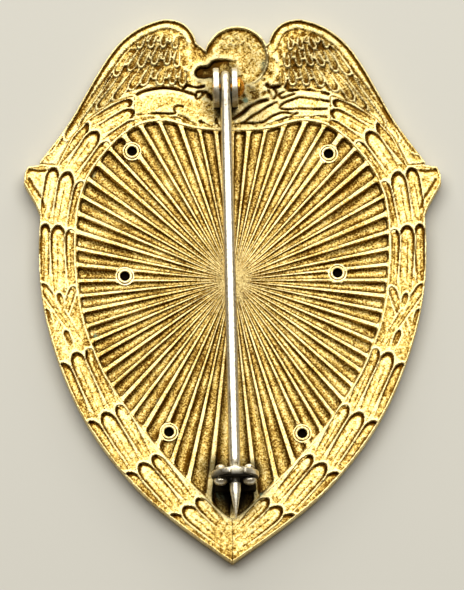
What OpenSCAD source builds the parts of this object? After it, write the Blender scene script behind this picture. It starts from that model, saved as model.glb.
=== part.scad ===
// Struck brass shield badge with an eagle crest, lying on its face.
// +X is right and +Y is up towards the crest, both as seen from the back.
// +Z comes out of the back, so the pin, its hinge and its catch are on top.
// z = 0 is the plane of the three front ribbons that the badge lies on.

/* [Shield] */
// Thickness of the ribbons riveted to the front
ribbon_t = 0.8; // [0.6:0.1:1.2]
// Thickness of the struck plate at its rim
plate_t = 1.8; // [1.6:0.1:2.4]
// How far the border and crest stand out of the front face
front_relief = 0.45; // [0.2:0.05:0.6]
// Depth of the ray crests below the rim
field_drop = 0.15; // [0.05:0.05:0.3]

/* [Sunburst] */
// Number of V grooves struck round the centre
ray_count = 60; // [48:4:72]
// Height of the point that the rays start from
ray_centre_y = 1.4; // [0:0.1:3]
// Depth of a groove for each millimetre from the centre
groove_slope = 0.028; // [0.02:0.001:0.032]
// Share of the pitch that stays as a flat crest
crest_share = 0.16; // [0.1:0.01:0.4]

/* [Border and crest] */
// Depth of the leaves below the rim
leaf_depth = 0.25; // [0.1:0.05:0.4]
// Depth of the wings below the rim
wing_depth = 0.3; // [0.1:0.05:0.4]
// Depth of the feathers below the wings
feather_depth = 0.2; // [0.1:0.05:0.3]
// Radius of the hollow of the eagle's head
head_r = 4.4; // [4:0.1:4.6]
// Depth of the hollow of the head
head_depth = 0.6; // [0.4:0.1:0.8]
// Depth of the hollow of the beak
beak_depth = 1.1; // [0.8:0.1:1.3]

/* [Hollow rivets] */
// Outer radius of a rivet's shank
rivet_r = 0.88; // [0.8:0.02:0.95]
// Radius of the open bore
rivet_bore_r = 0.65; // [0.5:0.05:0.7]
// Radius of the flared ring
rivet_flare_r = 1.05; // [1:0.05:1.2]
// Radius of the flat seat cut round a rivet
rivet_seat_r = 1.42; // [1.3:0.02:1.6]

/* [Pin] */
// Radius of the pin's round shank
stem_r = 0.775; // [0.7:0.025:0.8]
// Length from the hinge to the sharp point
stem_length = 60.2; // [58:0.1:62]
// Radius of the neck that lies in the catch
neck_r = 0.5; // [0.45:0.05:0.55]
// Height of the pin's axis above the front plane
pin_axis_z = 5.85; // [5.8:0.05:6.2]
// Lean of the soldered pin from upright, in degrees
pin_lean = 1.375; // [0:0.125:2]

/* [Hinge] */
// Radius of a hinge ear
ear_r = 2.7; // [2.5:0.1:2.8]
// Thickness of a hinge ear
ear_t = 0.76; // [0.7:0.02:0.8]
// Gap between the ears
ear_gap = 1.76; // [1.7:0.02:1.9]
// Radius of the hinge rivet
hinge_pin_r = 0.55; // [0.45:0.05:0.6]
// Radius of the domed head of the hinge rivet
dome_r = 1.35; // [1.2:0.05:1.5]

/* [Catch] */
// Outer radius of the catch ring
ring_r = 3.22; // [3.1:0.02:3.3]
// Width of the catch ring along the pin
ring_w = 0.75; // [0.7:0.05:0.9]
// Wall of the catch ring
ring_wall = 0.7; // [0.6:0.05:0.8]
// Distance from the hinge to the catch
catch_distance = 54.1; // [53.8:0.1:54.4]
// Width of the rotor's slot
slot_w = 1.3; // [1.2:0.05:1.4]

/* [Hidden] */
$fn = 64;

brass = "#c9a23c";
dark_brass = "#a8842c";
nickel = "#d9d4bf";
gilt = "#d8a136";

tiny = 0.01;
round_fit = 0.02;    // radial gap of a part fixed in its hole
running_fit = 0.05;  // radial gap of a part that turns
front_z = ribbon_t;
rim_z = front_z + plate_t;
field_z = rim_z - field_drop;

// ---- curves -------------------------------------------------------------------------------
// A point on the smooth curve through b and c, whose neighbours are a and d.
function between(a, b, c, d, t) =
    0.5 * (2 * b + (c - a) * t + (2 * a - 5 * b + 4 * c - d) * t * t
           + (3 * b - a - 3 * c + d) * t * t * t);
// A smooth curve through the points p, with n steps between each two.
function curve(p, n) = [
    for (i = [0 : len(p) - 2])
        for (k = [0 : n - 1])
            between(p[max(i - 1, 0)], p[i], p[i + 1], p[min(i + 2, len(p) - 1)], k / n),
    p[len(p) - 1]];
function flip(p) = [for (i = [len(p) - 1 : -1 : 0]) [-p[i][0], p[i][1]]];
function polar(r, a) = [r * cos(a), r * sin(a)];

// ---- shield outline, right half from the tip up ---------------------------------------------
side_points = [[0, -37.9], [3.9, -35.1], [7.6, -32.3], [11.6, -28.9], [15.1, -25.1], [18.4, -20.7],
               [21.2, -15.8], [23.5, -10.2], [25.1, -4.8], [26, 0.3], [26.3, 5.4], [26.1, 10.6]];
tab_points = [[26.7, 12.1], [28.3, 14.95], [28.25, 16.25], [27.8, 17.25], [26.1, 17.5]];
wing_points = [[26.2, 17.9], [24.1, 20.7], [21.9, 23.9], [19.8, 27.7], [18.3, 30.4], [16.6, 33.1],
               [14.9, 35.1], [12.6, 36.8], [10, 37.8], [8.3, 37.9], [6.6, 37.3], [5.4, 36], [4.9, 34.6]];
head_centre = [0.6, 32.6];
half_outline = concat(curve(side_points, 4), tab_points, curve(wing_points, 3));

module shield_2d() {
    polygon(concat(half_outline, [[3, 33]], [[-3, 33]], flip(half_outline)));
    translate(head_centre) circle(r = head_r);
}

// ---- sunburst field -------------------------------------------------------------------------
// Distance from the ray centre to the edge of the field, from straight down
// to straight up in equal steps; both sides are alike.
field_step = 7.5;
field_radius = [33.2, 30.1, 27.6, 25.6, 24.1, 23, 22.2, 21.65, 21.2, 20.95, 20.85, 20.85, 21,
                21.4, 22, 22.8, 23.7, 24.4, 24.8, 25.15, 25.1, 24.1, 22.1, 21.15, 20.9];
// Angle up from straight down, folded onto one side.
function folded(a) = let (b = (a + 450) % 360) b > 180 ? 360 - b : b;
function field_r(a) = let (s = folded(a) / field_step,
                           i = min(floor(s), len(field_radius) - 2),
                           n = len(field_radius) - 1)
    between(field_radius[max(i - 1, 0)], field_radius[i], field_radius[i + 1],
            field_radius[min(i + 2, n)], s - i);

pitch = 360 / ray_count;
half_crest = pitch * crest_share / 2;

// The solid that is struck out of the back: flat crests with V grooves between them.
module sunburst_cutter() {
    edge = [for (i = [0 : ray_count - 1])
                for (k = [[half_crest, 0], [pitch / 2, groove_slope], [pitch - half_crest, 0]])
                    let (a = i * pitch + k[0], r = field_r(a))
                        concat(polar(r, a), [field_z - k[1] * r])];
    n = len(edge);
    top = [for (p = edge) [p[0], p[1], rim_z + 1]];
    points = concat(edge, top, [[0, 0, field_z], [0, 0, rim_z + 1]]);
    faces = concat(
        [for (i = [0 : n - 1]) [2 * n, i, (i + 1) % n]],
        [for (i = [0 : n - 1]) [(i + 1) % n, i, n + i, n + (i + 1) % n]],
        [for (i = [0 : n - 1]) [2 * n + 1, n + (i + 1) % n, n + i]]);
    translate([0, ray_centre_y, 0]) polyhedron(points, faces);
}

// ---- border of leaves -------------------------------------------------------------------------
// Tips of the outer, middle and inner leaf of each bunch, right side, top to bottom.
leaf_tips = [[[19.4, 23.2], [18.4, 22.1], [17.4, 20.9]],
             [[23.9, 17.1], [22.1, 16.6], [20.8, 15.5]],
             [[25.4, 9.5], [23.7, 9.3], [22.2, 8.6]],
             [[23, -10.2], [21.3, -8.7], [19.8, -8.4]],
             [[19.2, -18.3], [17.3, -17.1], [15.7, -16.2]],
             [[14.2, -25.4], [12.4, -24.1], [10.8, -23.3]],
             [[8.2, -31.4], [6.4, -30.4], [5.1, -28.9]]];
// Where the leaves of each bunch end, below their tips.
leaf_ends = [[[23.2, 18.4], [21.6, 17.6], [20.4, 16.6]],
             [[25.2, 11], [23.9, 10.2], [22.3, 9.7]],
             [[25.4, 1.2], [23.8, 1.6], [22.4, 2.2]],
             [[20.1, -16.9], [18.1, -15.9], [16.5, -15]],
             [[15.3, -24.2], [13.4, -23], [11.8, -22.2]],
             [[9.4, -30.5], [7.6, -29.4], [6.2, -28]],
             [[1.2, -36.1], [0.9, -34.7], [0.7, -33.3]]];
leaf_width = 1.25;
// The bunches under the wings, from the shoulder to the middle, right side.
top_leaf_tips = [[13.6, 26.4], [13.3, 25.4], [13.1, 24.4]];
top_leaf_ends = [[18.6, 23.9], [17.8, 22.9], [16.9, 21.6]];

// A leaf shape from p to q: two arcs that meet in a point at each end.
module leaf_2d(p, q, width) {
    d = q - p;
    length = norm(d);
    arc_r = (length * length / 4 + width * width / 4) / width;
    translate((p + q) / 2) rotate(atan2(d[1], d[0]))
        intersection() {
            translate([0, arc_r - width / 2]) circle(r = arc_r);
            translate([0, width / 2 - arc_r]) circle(r = arc_r);
        }
}

module struck(depth, floor_z = rim_z) {
    translate([0, 0, floor_z - depth]) linear_extrude(depth + 1) children();
}

module leaf_cuts() {
    for (side = [0, 1])
        mirror([side, 0, 0])
            struck(leaf_depth) {
                for (i = [0 : len(leaf_tips) - 1], k = [0 : 2])
                    leaf_2d(leaf_tips[i][k], leaf_ends[i][k], leaf_width);
                for (k = [0 : 2])
                    leaf_2d(top_leaf_tips[k], top_leaf_ends[k], leaf_width * 0.8);
            }
}

// ---- eagle crest -------------------------------------------------------------------------------
wing_floor_points = [[5.7, 34.6], [7, 36.3], [8.8, 36.9], [10.6, 36.7], [13, 35.4], [15.2, 33.1],
                     [17.2, 29.8], [19, 26.4], [17.2, 26.4], [13.4, 28.2], [10, 29.2], [6.6, 29.2]];
// First and last feather of each row: root and tip, with the number of feathers.
feather_rows = [[[7.2, 35.6], [6.9, 33.6], [12.6, 34.6], [13.8, 32.8], 6],
                [[7, 33.2], [6.8, 30], [14.2, 32.2], [16.4, 28.4], 7]];
feather_width = 0.8;
beak_points = [[1.6, 32], [-2.6, 32.3], [-4.4, 31.6], [-5.1, 30.7], [-4.8, 29.9], [-2.6, 29.8], [1.2, 30.2]];

module wing_cuts() {
    for (side = [0, 1])
        mirror([side, 0, 0]) {
            struck(wing_depth) polygon(curve(wing_floor_points, 3));
            struck(feather_depth, rim_z - wing_depth)
                for (row = feather_rows, i = [0 : row[4] - 1]) {
                    t = i / (row[4] - 1);
                    leaf_2d(row[0] + (row[2] - row[0]) * t, row[1] + (row[3] - row[1]) * t, feather_width);
                }
        }
}

module head_cuts() {
    struck(head_depth) translate(head_centre) circle(r = head_r - 0.4);
    struck(beak_depth) polygon(curve(beak_points, 3));
}

// ---- rivets --------------------------------------------------------------------------------------
// The left and the right rivet of each row; they were set by hand, so the rows aren't quite level.
rivet_places = [[[-13.65, 19.5], [13.05, 19.15]],
                [[-14.6, 2], [14.25, 2.45]],
                [[-8.6, -19.75], [9.45, -19.95]]];
seat_z = field_z - 0.4;
flare_h = 0.3;

module at_rivet(row, side) {
    translate(rivet_places[row][side]) children();
}

module at_all_rivets() {
    for (row = [0 : 2], side = [0, 1]) at_rivet(row, side) children();
}

// A tube soldered to the ribbon, with its far end rolled over the plate.
module hollow_rivet(row, side) {
    roll_r = (rivet_flare_r - rivet_bore_r) / 2;
    color(brass) at_rivet(row, side)
        rotate_extrude() {
            translate([rivet_bore_r, front_z]) square([rivet_r - rivet_bore_r, seat_z - front_z]);
            translate([rivet_bore_r, seat_z]) square([rivet_flare_r - rivet_bore_r, flare_h - roll_r]);
            intersection() {
                translate([rivet_bore_r + roll_r, seat_z + flare_h - roll_r]) circle(r = roll_r, $fn = 32);
                translate([rivet_bore_r, seat_z]) square([2 * roll_r, flare_h + 1]);
            }
        }
}

module rivet_top_left() { hollow_rivet(0, 0); }
module rivet_top_right() { hollow_rivet(0, 1); }
module rivet_middle_left() { hollow_rivet(1, 0); }
module rivet_middle_right() { hollow_rivet(1, 1); }
module rivet_bottom_left() { hollow_rivet(2, 0); }
module rivet_bottom_right() { hollow_rivet(2, 1); }

// ---- plate -----------------------------------------------------------------------------------------
module field_2d(grow = 0) {
    translate([0, ray_centre_y])
        polygon([for (a = [0 : 5 : 355]) polar(field_r(a) + grow, a)]);
}

module badge_plate() {
    color(brass) difference() {
        union() {
            translate([0, 0, front_z]) linear_extrude(plate_t) shield_2d();
            translate([0, 0, front_z - front_relief])
                linear_extrude(front_relief + tiny)
                    difference() {
                        shield_2d();
                        field_2d(0.6);
                    }
        }
        sunburst_cutter();
        leaf_cuts();
        wing_cuts();
        head_cuts();
        at_all_rivets() {
            translate([0, 0, seat_z]) cylinder(r = rivet_seat_r, h = 2);
            cylinder(r = rivet_r + round_fit, h = rim_z + 1);
        }
    }
}

// ---- front ribbons ---------------------------------------------------------------------------------
// A banner on an arc through its two rivets, with a notch in each end.
// rise is how far the middle stands above the rivets; it is negative for one that sags.
module banner_2d(row, rise, height, overhang) {
    left = rivet_places[row][0];
    right = rivet_places[row][1];
    half = (right[0] - left[0]) / 2;
    bow = abs(rise);
    arc_r = (half * half + bow * bow) / (2 * bow);
    swing = asin(half / arc_r);
    reach = swing + overhang / arc_r * 180 / PI;
    notch = height * 0.35 / arc_r * 180 / PI;
    turn = rise > 0 ? 90 : -90;
    centre = (left + right) / 2 + [0, rise - sign(rise) * arc_r];
    steps = 16;
    outer = [for (i = [0 : steps]) polar(arc_r + height / 2, turn - reach + 2 * reach * i / steps)];
    inner = [for (i = [steps : -1 : 0]) polar(arc_r - height / 2, turn - reach + 2 * reach * i / steps)];
    translate(centre)
        polygon(concat(outer, [polar(arc_r, turn + reach - notch)], inner, [polar(arc_r, turn - reach + notch)]));
}

module ribbon(row, rise, height, overhang) {
    color(dark_brass) linear_extrude(ribbon_t) banner_2d(row, rise, height, overhang);
}

module ribbon_top() { ribbon(0, 1, 3.6, 1.9); }
module ribbon_middle() { ribbon(1, 0.9, 5, 3.4); }
module ribbon_bottom() { ribbon(2, -1.8, 3.8, 1.4); }

// ---- pin, hinge and catch, in the pin's own frame ------------------------------------------------------
// The hinge axis is the origin, along X; the pin runs down -Y.
hinge_place = [-0.95, 27.5, pin_axis_z];
patch_t = 0.4;
hinge_patch_top = rim_z + patch_t - pin_axis_z;
catch_patch_top = field_z + 0.35 - pin_axis_z;

module in_pin_frame() {
    translate(hinge_place) rotate([0, 0, pin_lean]) children();
}

module at_catch() {
    translate([0, -catch_distance, 0]) children();
}

module along_x(r, x0, x1) {
    translate([x0, 0, 0]) rotate([0, 90, 0]) cylinder(r = r, h = x1 - x0);
}

module along_pin(r, y0, y1) {
    translate([0, y1, 0]) rotate([90, 0, 0]) cylinder(r = r, h = y1 - y0);
}

module block(x0, x1, y0, y1, z0, z1) {
    translate([x0, y0, z0]) cube([x1 - x0, y1 - y0, z1 - z0]);
}

ear_out = ear_gap / 2 + ear_t;

// The thin patch that is soldered to the plate under the hinge.
module hinge_patch() {
    color(nickel) in_pin_frame()
        block(-ear_out - 0.2, ear_out + 0.2, 0.2 - ear_r, ear_r - 0.2, rim_z - pin_axis_z, hinge_patch_top);
}

// One strip bent into a U: a web on the patch and a round ear on each side.
module hinge_bracket() {
    web_t = 0.35;
    foot = ear_r * 0.8;
    color(nickel) in_pin_frame() difference() {
        union() {
            for (x0 = [-ear_out, ear_gap / 2]) {
                intersection() {
                    along_x(ear_r, x0, x0 + ear_t);
                    block(-3, 3, -3, 3, hinge_patch_top, 3);
                }
                block(x0, x0 + ear_t, -foot, foot, hinge_patch_top, -ear_r * 0.5);
            }
            block(-ear_out, ear_out, -foot, foot, hinge_patch_top, hinge_patch_top + web_t);
        }
        along_x(hinge_pin_r + round_fit, -3, 3);
    }
}

// The hinge rivet: a plain shank with a low domed head on the right.
module hinge_rivet() {
    dome_h = 0.95;
    lip = 0.3;
    ball_r = (dome_r * dome_r + (dome_h - lip) * (dome_h - lip)) / (2 * (dome_h - lip));
    head_y = ear_out + tiny;
    color(gilt) in_pin_frame() rotate([0, 90, 0]) rotate_extrude() {
        translate([0, -ear_out - 0.08]) square([hinge_pin_r, 2 * ear_out + 0.08 + 2 * tiny]);
        intersection() {
            translate([0, head_y + dome_h - ball_r]) circle(r = ball_r, $fn = 128);
            translate([0, head_y]) square([dome_r, dome_h]);
        }
    }
}

knuckle_r = 1.9;
knuckle_w = 1.3;
// The full-width shank, which the cloth rides on, ends just short of the catch.
shank_start = 4.2;
shank_end = catch_distance - 2.5;
neck_start = catch_distance - 1.15;
shoulder_start = catch_distance + 1.05;

// Half outline of the pin from the hinge to its point: distance along the pin, then radius.
module stem_profile() {
    polygon([[0, 0], [0, knuckle_w / 2], [shank_start - 0.8, knuckle_w / 2], [shank_start, stem_r],
             [shank_end, stem_r], [neck_start, stem_r * 0.93], [neck_start + 0.3, neck_r],
             [shoulder_start, neck_r], [shoulder_start + 0.15, stem_r],
             [shoulder_start + 0.45, stem_r * 0.92], [shoulder_start + 1, stem_r * 0.95],
             [stem_length - 1.4, stem_r * 0.38], [stem_length, 0.04], [stem_length, 0]]);
}

module pin_stem() {
    color(nickel) in_pin_frame() difference() {
        union() {
            // The outline lies along X, with its radius along Y; turned, it runs down -Y.
            rotate([90, 0, 0]) rotate_extrude() mirror([1, -1]) stem_profile();
            along_x(knuckle_r, -knuckle_w / 2, knuckle_w / 2);
        }
        along_x(hinge_pin_r + running_fit, -3, 3);
    }
}

// The thin patch that is soldered across the ray crests under the catch.
module catch_patch() {
    color(nickel) in_pin_frame() at_catch()
        block(-3.2, 3.2, -2, 2, field_z - pin_axis_z, catch_patch_top);
}

gap_left = -0.62;
gap_right = 1.25;
ring_bore_r = ring_r - ring_wall;

module catch_ring() {
    foot = 2.1;
    color(nickel) in_pin_frame() at_catch() difference() {
        union() {
            along_pin(ring_r, -ring_w / 2, ring_w / 2);
            block(-foot, foot, -ring_w / 2, ring_w / 2, catch_patch_top, -ring_r * 0.6);
        }
        along_pin(ring_bore_r, -3, 3);
        block(gap_left, gap_right, -3, 3, 0, 5);
        block(-5, 5, -3, 3, -5, catch_patch_top);
    }
}

rotor_r = ring_bore_r - running_fit;
rotor_bore_r = 0.68;
lobe_r = 0.92;
lobe_x = 1.95;
lobe_gap = 0.12;
lobe_out = 1.55;

// The slot that the pin drops into; it points down when the catch is shut.
module rotor_slot() {
    along_pin(rotor_bore_r, -3, 3);
    block(-slot_w / 2, slot_w / 2, -3, 3, -4, 0);
}

// The barrel that turns in the ring, with the two finger lobes in front of it.
module catch_rotor() {
    front = -ring_w / 2 - lobe_gap;
    color(nickel) in_pin_frame() at_catch() difference() {
        union() {
            along_pin(rotor_r, front, ring_w / 2 + lobe_gap);
            for (side = [-1, 1])
                translate([side * lobe_x, 0, 0]) along_pin(lobe_r, -lobe_out, front + tiny);
        }
        rotor_slot();
    }
}

// The second pair of lobes, pressed onto the barrel behind the ring.
module rotor_collar() {
    back = ring_w / 2 + lobe_gap;
    color(nickel) in_pin_frame() at_catch() difference() {
        union() {
            along_pin(1.6, back, back + 0.4);
            for (side = [-1, 1])
                translate([side * lobe_x, 0, 0]) along_pin(lobe_r * 0.9, back, lobe_out * 0.85);
        }
        rotor_slot();
    }
}

badge_plate();
rivet_top_left();
rivet_top_right();
rivet_middle_left();
rivet_middle_right();
rivet_bottom_left();
rivet_bottom_right();
ribbon_top();
ribbon_middle();
ribbon_bottom();
hinge_patch();
hinge_bracket();
hinge_rivet();
pin_stem();
catch_patch();
catch_ring();
catch_rotor();
rotor_collar();
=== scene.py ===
import math
import random

import bmesh
import bpy
import numpy as np
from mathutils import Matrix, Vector


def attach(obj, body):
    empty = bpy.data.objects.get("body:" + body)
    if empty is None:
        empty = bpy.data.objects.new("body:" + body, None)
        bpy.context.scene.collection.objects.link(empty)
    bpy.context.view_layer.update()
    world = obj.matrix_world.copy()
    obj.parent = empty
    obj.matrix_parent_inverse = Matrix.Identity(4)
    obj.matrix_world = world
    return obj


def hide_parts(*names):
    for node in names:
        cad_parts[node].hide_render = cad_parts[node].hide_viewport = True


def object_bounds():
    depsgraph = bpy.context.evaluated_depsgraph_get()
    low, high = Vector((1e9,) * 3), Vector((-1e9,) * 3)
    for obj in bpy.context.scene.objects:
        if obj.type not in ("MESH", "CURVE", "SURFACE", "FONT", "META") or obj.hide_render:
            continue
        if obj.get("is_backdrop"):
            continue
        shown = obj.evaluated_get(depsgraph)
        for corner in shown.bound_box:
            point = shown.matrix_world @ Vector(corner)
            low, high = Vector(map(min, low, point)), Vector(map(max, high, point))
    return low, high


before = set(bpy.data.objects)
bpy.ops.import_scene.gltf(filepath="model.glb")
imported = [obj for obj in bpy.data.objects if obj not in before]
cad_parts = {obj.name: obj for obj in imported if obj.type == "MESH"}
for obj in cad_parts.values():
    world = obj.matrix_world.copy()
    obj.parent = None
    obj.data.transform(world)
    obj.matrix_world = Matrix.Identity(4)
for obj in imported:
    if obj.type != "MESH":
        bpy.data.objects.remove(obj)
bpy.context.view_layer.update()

# ---- Sunburst field -----------------------------------------------------------------------------
# The middle of the plate, struck from the front between dies. Its back shows the rays as V grooves
# between narrow flat crests. Beyond the grooves a plain rim runs out under the border.

MM = 0.001
FRONT_Z = 0.8           # the plate's flat front, on top of the front ribbons
RIM_Z = 2.6             # the back's highest plane
FIELD_Z = RIM_Z - 0.15  # tops of the ray crests
RAY_COUNT = 60
RAY_CENTRE = (0.0, 1.4)
# Distance from the ray centre to the edge of the field, from straight down to straight up.
EDGE_STEP = 7.5
EDGE_RADII = (33.2, 30.1, 27.6, 25.6, 24.1, 23, 22.2, 21.65, 21.2, 20.95, 20.85, 20.85, 21,
              21.4, 22, 22.8, 23.7, 24.4, 24.8, 25.15, 25.1, 24.1, 22.1, 21.15, 20.9)
FIELD_LAP = 0.9         # how far the rim runs out under the border
RIVET_PLACES = ((-13.65, 19.5), (13.05, 19.15), (-14.6, 2.0), (14.25, 2.45), (-8.6, -19.75), (9.45, -19.95))
SEAT_RADIUS = 1.42
SEAT_Z = FIELD_Z - 0.3
SEAT_SHINE = 0.55
# The stains kept on the back include the painted shade stored with the soot.
BACK_MIDDLE_Z = 1.3     # between the floors of the grooves and the front, so that stains stay on the back
HOLE_RADIUS = 0.9


def colour(text):
    """An sRGB hex colour as linear red, green, blue and alpha."""
    parts = [int(text[i:i + 2], 16) / 255 for i in (1, 3, 5)]
    return tuple(c / 12.92 if c <= 0.04045 else ((c + 0.055) / 1.055) ** 2.4 for c in parts) + (1.0,)


def add(tree, kind, inputs=None, **settings):
    """A new node; each input takes a constant, a socket, a node's first output or a list of these."""
    node = tree.nodes.new(kind)
    for key, value in settings.items():
        setattr(node, key, value)
    for key, value in (inputs or {}).items():
        for source in value if isinstance(value, list) else [value]:
            if isinstance(source, bpy.types.Node):
                source = source.outputs[0]
            if isinstance(source, bpy.types.NodeSocket):
                tree.links.new(source, node.inputs[key])
            else:
                node.inputs[key].default_value = source
    return node


def geometry_tree(name, sizes):
    """A node group from geometry to geometry with a named input for every size, and their identifiers."""
    tree = bpy.data.node_groups.new(name, "GeometryNodeTree")
    tree.is_modifier = True
    tree.interface.new_socket("Geometry", in_out="OUTPUT", socket_type="NodeSocketGeometry")
    tree.interface.new_socket("Geometry", in_out="INPUT", socket_type="NodeSocketGeometry")
    identifiers = {}
    for key, value in sizes.items():
        kind = "NodeSocketInt" if isinstance(value, int) else "NodeSocketFloat"
        identifiers[key] = tree.interface.new_socket(key, in_out="INPUT", socket_type=kind).identifier
    return tree, identifiers


def run_tree(start, tree, identifiers, sizes, name, smooth_angle=60):
    """The plain object that the tree makes of a starting object, which is removed."""
    modifier = start.modifiers.new(tree.name, "NODES")
    modifier.node_group = tree
    for key, value in sizes.items():
        modifier[identifiers[key]] = value
    return plain_copy(start, name, smooth_angle)


def drilled(piece, cutter, name, smooth_angle):
    """A plain object: the piece with the cutter's shape taken away. Both are removed."""
    drill = piece.modifiers.new("drill", "BOOLEAN")
    drill.object, drill.operation, drill.solver = cutter, "DIFFERENCE", "EXACT"
    made = plain_copy(piece, name, smooth_angle)
    bpy.data.objects.remove(cutter)
    return made


def ring_faces(rows, columns, flip=False):
    """The quads between neighbouring closed rings of points."""
    faces = []
    for row in range(rows - 1):
        here, there = row * columns, (row + 1) * columns
        for k in range(columns):
            face = (here + k, there + k, there + (k + 1) % columns, here + (k + 1) % columns)
            faces.append(face[:1] + face[:0:-1] if flip else face)
    return faces


def between(a, b, c, d, t):
    """A point on the smooth curve through b and c, whose neighbours are a and d."""
    square = (2 * a - 5 * b + 4 * c - d) * t ** 2
    cube = (3 * b - a - 3 * c + d) * t ** 3
    return 0.5 * (2 * b + (c - a) * t + square + cube)


def edge_radius(angle):
    """Radius of the field's edge at angles in radians, anticlockwise from +X."""
    turned = np.degrees(angle) + 90
    folded = np.abs((turned + 180) % 360 - 180) / EDGE_STEP
    last = len(EDGE_RADII) - 1
    low = np.minimum(folded.astype(int), last - 1)
    radii = np.array(EDGE_RADII)
    return between(radii[np.maximum(low - 1, 0)], radii[low], radii[low + 1],
                   radii[np.minimum(low + 2, last)], folded - low)


def mesh_object(name, points, faces, smooth_angle=60, **attributes):
    """A mesh object in metres from points in millimetres, with float attributes on its points."""
    mesh = bpy.data.meshes.new(name)
    mesh.from_pydata((np.asarray(points, float) * MM).tolist(), [], [list(f) for f in faces])
    mesh.shade_smooth()
    mesh.set_sharp_from_angle(angle=math.radians(smooth_angle))
    for key, values in attributes.items():
        mesh.attributes.new(key, "FLOAT", "POINT").data.foreach_set("value", np.asarray(values, np.float32))
    made = bpy.data.objects.new(name, mesh)
    bpy.context.scene.collection.objects.link(made)
    return made


def plain_copy(source, name, smooth_angle=60):
    """The evaluated shape of an object as a plain mesh object; the source is removed."""
    bpy.context.view_layer.update()
    mesh = bpy.data.meshes.new_from_object(source.evaluated_get(bpy.context.evaluated_depsgraph_get()))
    bpy.data.objects.remove(source)
    mesh.shade_smooth()
    mesh.set_sharp_from_angle(angle=math.radians(smooth_angle))
    made = bpy.data.objects.new(name, mesh)
    bpy.context.scene.collection.objects.link(made)
    return made


def turned(profile, places, segments=48):
    """Points and faces of one profile of (radius, height), from axis to axis, turned at each place."""
    points, faces = [], []
    for x, y in places:
        rings = []
        for radius, height in profile:
            count = segments if radius > 0 else 1
            rings.append(list(range(len(points), len(points) + count)))
            points += [(x + radius * math.cos(2 * math.pi * k / count),
                        y + radius * math.sin(2 * math.pi * k / count), height) for k in range(count)]
        for low, high in zip(rings, rings[1:]):
            for k in range(segments):
                corners = [low[k % len(low)], low[(k + 1) % segments % len(low)],
                           high[(k + 1) % segments % len(high)], high[k % len(high)]]
                faces.append(list(dict.fromkeys(corners)))
    return points, faces


def smoothstep(value, start, stop):
    """0 at the start, 1 at the stop and a smooth rise between them."""
    t = np.clip((value - start) / (stop - start), 0, 1)
    return t * t * (3 - 2 * t)


def speckle(x, y, size, seed):
    """Soft lumps of a given size in millimetres, from -1 to 1, the same on every run."""
    lattice = np.random.RandomState(seed).rand(257, 257)
    u, v = x / size + 100.5, y / size + 100.5
    i, j = np.floor(u).astype(int), np.floor(v).astype(int)
    fu, fv = u - i, v - j
    fu, fv = fu * fu * (3 - 2 * fu), fv * fv * (3 - 2 * fv)
    i, j = i % 256, j % 256
    low = lattice[i, j] * (1 - fu) + lattice[i + 1, j] * fu
    high = lattice[i, j + 1] * (1 - fu) + lattice[i + 1, j + 1] * fu
    return (low * (1 - fv) + high * fv) * 2 - 1


def spots(x, y, places):
    """Soft round patches of (x, y, radius, strength); the strongest wins."""
    value = np.zeros(x.shape)
    for px, py, radius, strength in places:
        ragged = radius * (1 + 0.35 * speckle(x, y, radius * 0.7, int(abs(px * 37 + py * 11)) % 997))
        value = np.maximum(value, strength * (1 - smoothstep(np.hypot(x - px, y - py), ragged * 0.3,
            ragged)))
    return value


def mark(piece, key, rule):
    """Stores a float attribute worked out from each point's place in millimetres; NaN keeps the old value."""
    places = np.zeros(len(piece.data.vertices) * 3)
    piece.data.vertices.foreach_get("co", places)
    x, y, z = (places.reshape(-1, 3) / MM).T
    store = piece.data.attributes.get(key) or piece.data.attributes.new(key, "FLOAT", "POINT")
    old = np.zeros(len(x), np.float32)
    store.data.foreach_get("value", old)
    new = rule(x, y, z).astype(np.float32)
    store.data.foreach_set("value", np.where(np.isnan(new), old, new))


# Soot round the soldered hinge and catch, with painted shade in the beak hollow, under the hinge and below
# the catch, and green specks of corrosion.
SOOT_AND_SHADE_SPOTS = (
    (-0.9, 26.6, 3.6, 0.55), (-0.9, 25.2, 1.9, 0.9), (1.9, 27.6, 3.0, 0.4), (-2.9, 30.9, 2.6, 0.4),
    (-0.4, 30.6, 2.4, 0.5), (0.35, -28.6, 5.2, 1.0), (-2.2, -24.9, 2.6, 0.7), (2.8, -24.9, 2.5, 0.7),
    (-10.8, 33.2, 4.2, 0.08), (11.2, 32.8, 4.4, 0.1), (17.4, 27.6, 3.5, 0.08), (-17.8, 27.2, 3.4, 0.06),
    (5.4, 26.9, 2.6, 0.1), (3.2, 31.5, 3.6, 0.12), (0.8, 33.6, 4.6, 0.05), (3.0, 24.4, 2.6, 0.16))
GREEN = ((1.8, 26.6, 0.55, 0.9), (-18.6, -6.3, 0.4, 0.9), (-18.8, 16.3, 0.35, 0.7), (4.2, 31.7, 0.9, 0.35),
         (-10, -15.3, 0.3, 0.6), (3.9, -28.5, 0.35, 0.6), (-9.5, -18.2, 0.3, 0.5), (-3.9, 26.8, 0.3, 0.5),
         (-1.9, -28.2, 0.5, 0.5))

# Aged gilt brass, struck and never polished on the back. To the eye: a satin yellow metal with a sandy
# grain of about a quarter of a millimetre, brown tarnish and painted shade in the hollows, bright worn crests
# with painted highlight, soot from the soldering torch with painted shade round it and a few green specks.
struck_brass = bpy.data.materials.new("aged_gilt_brass")


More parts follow.
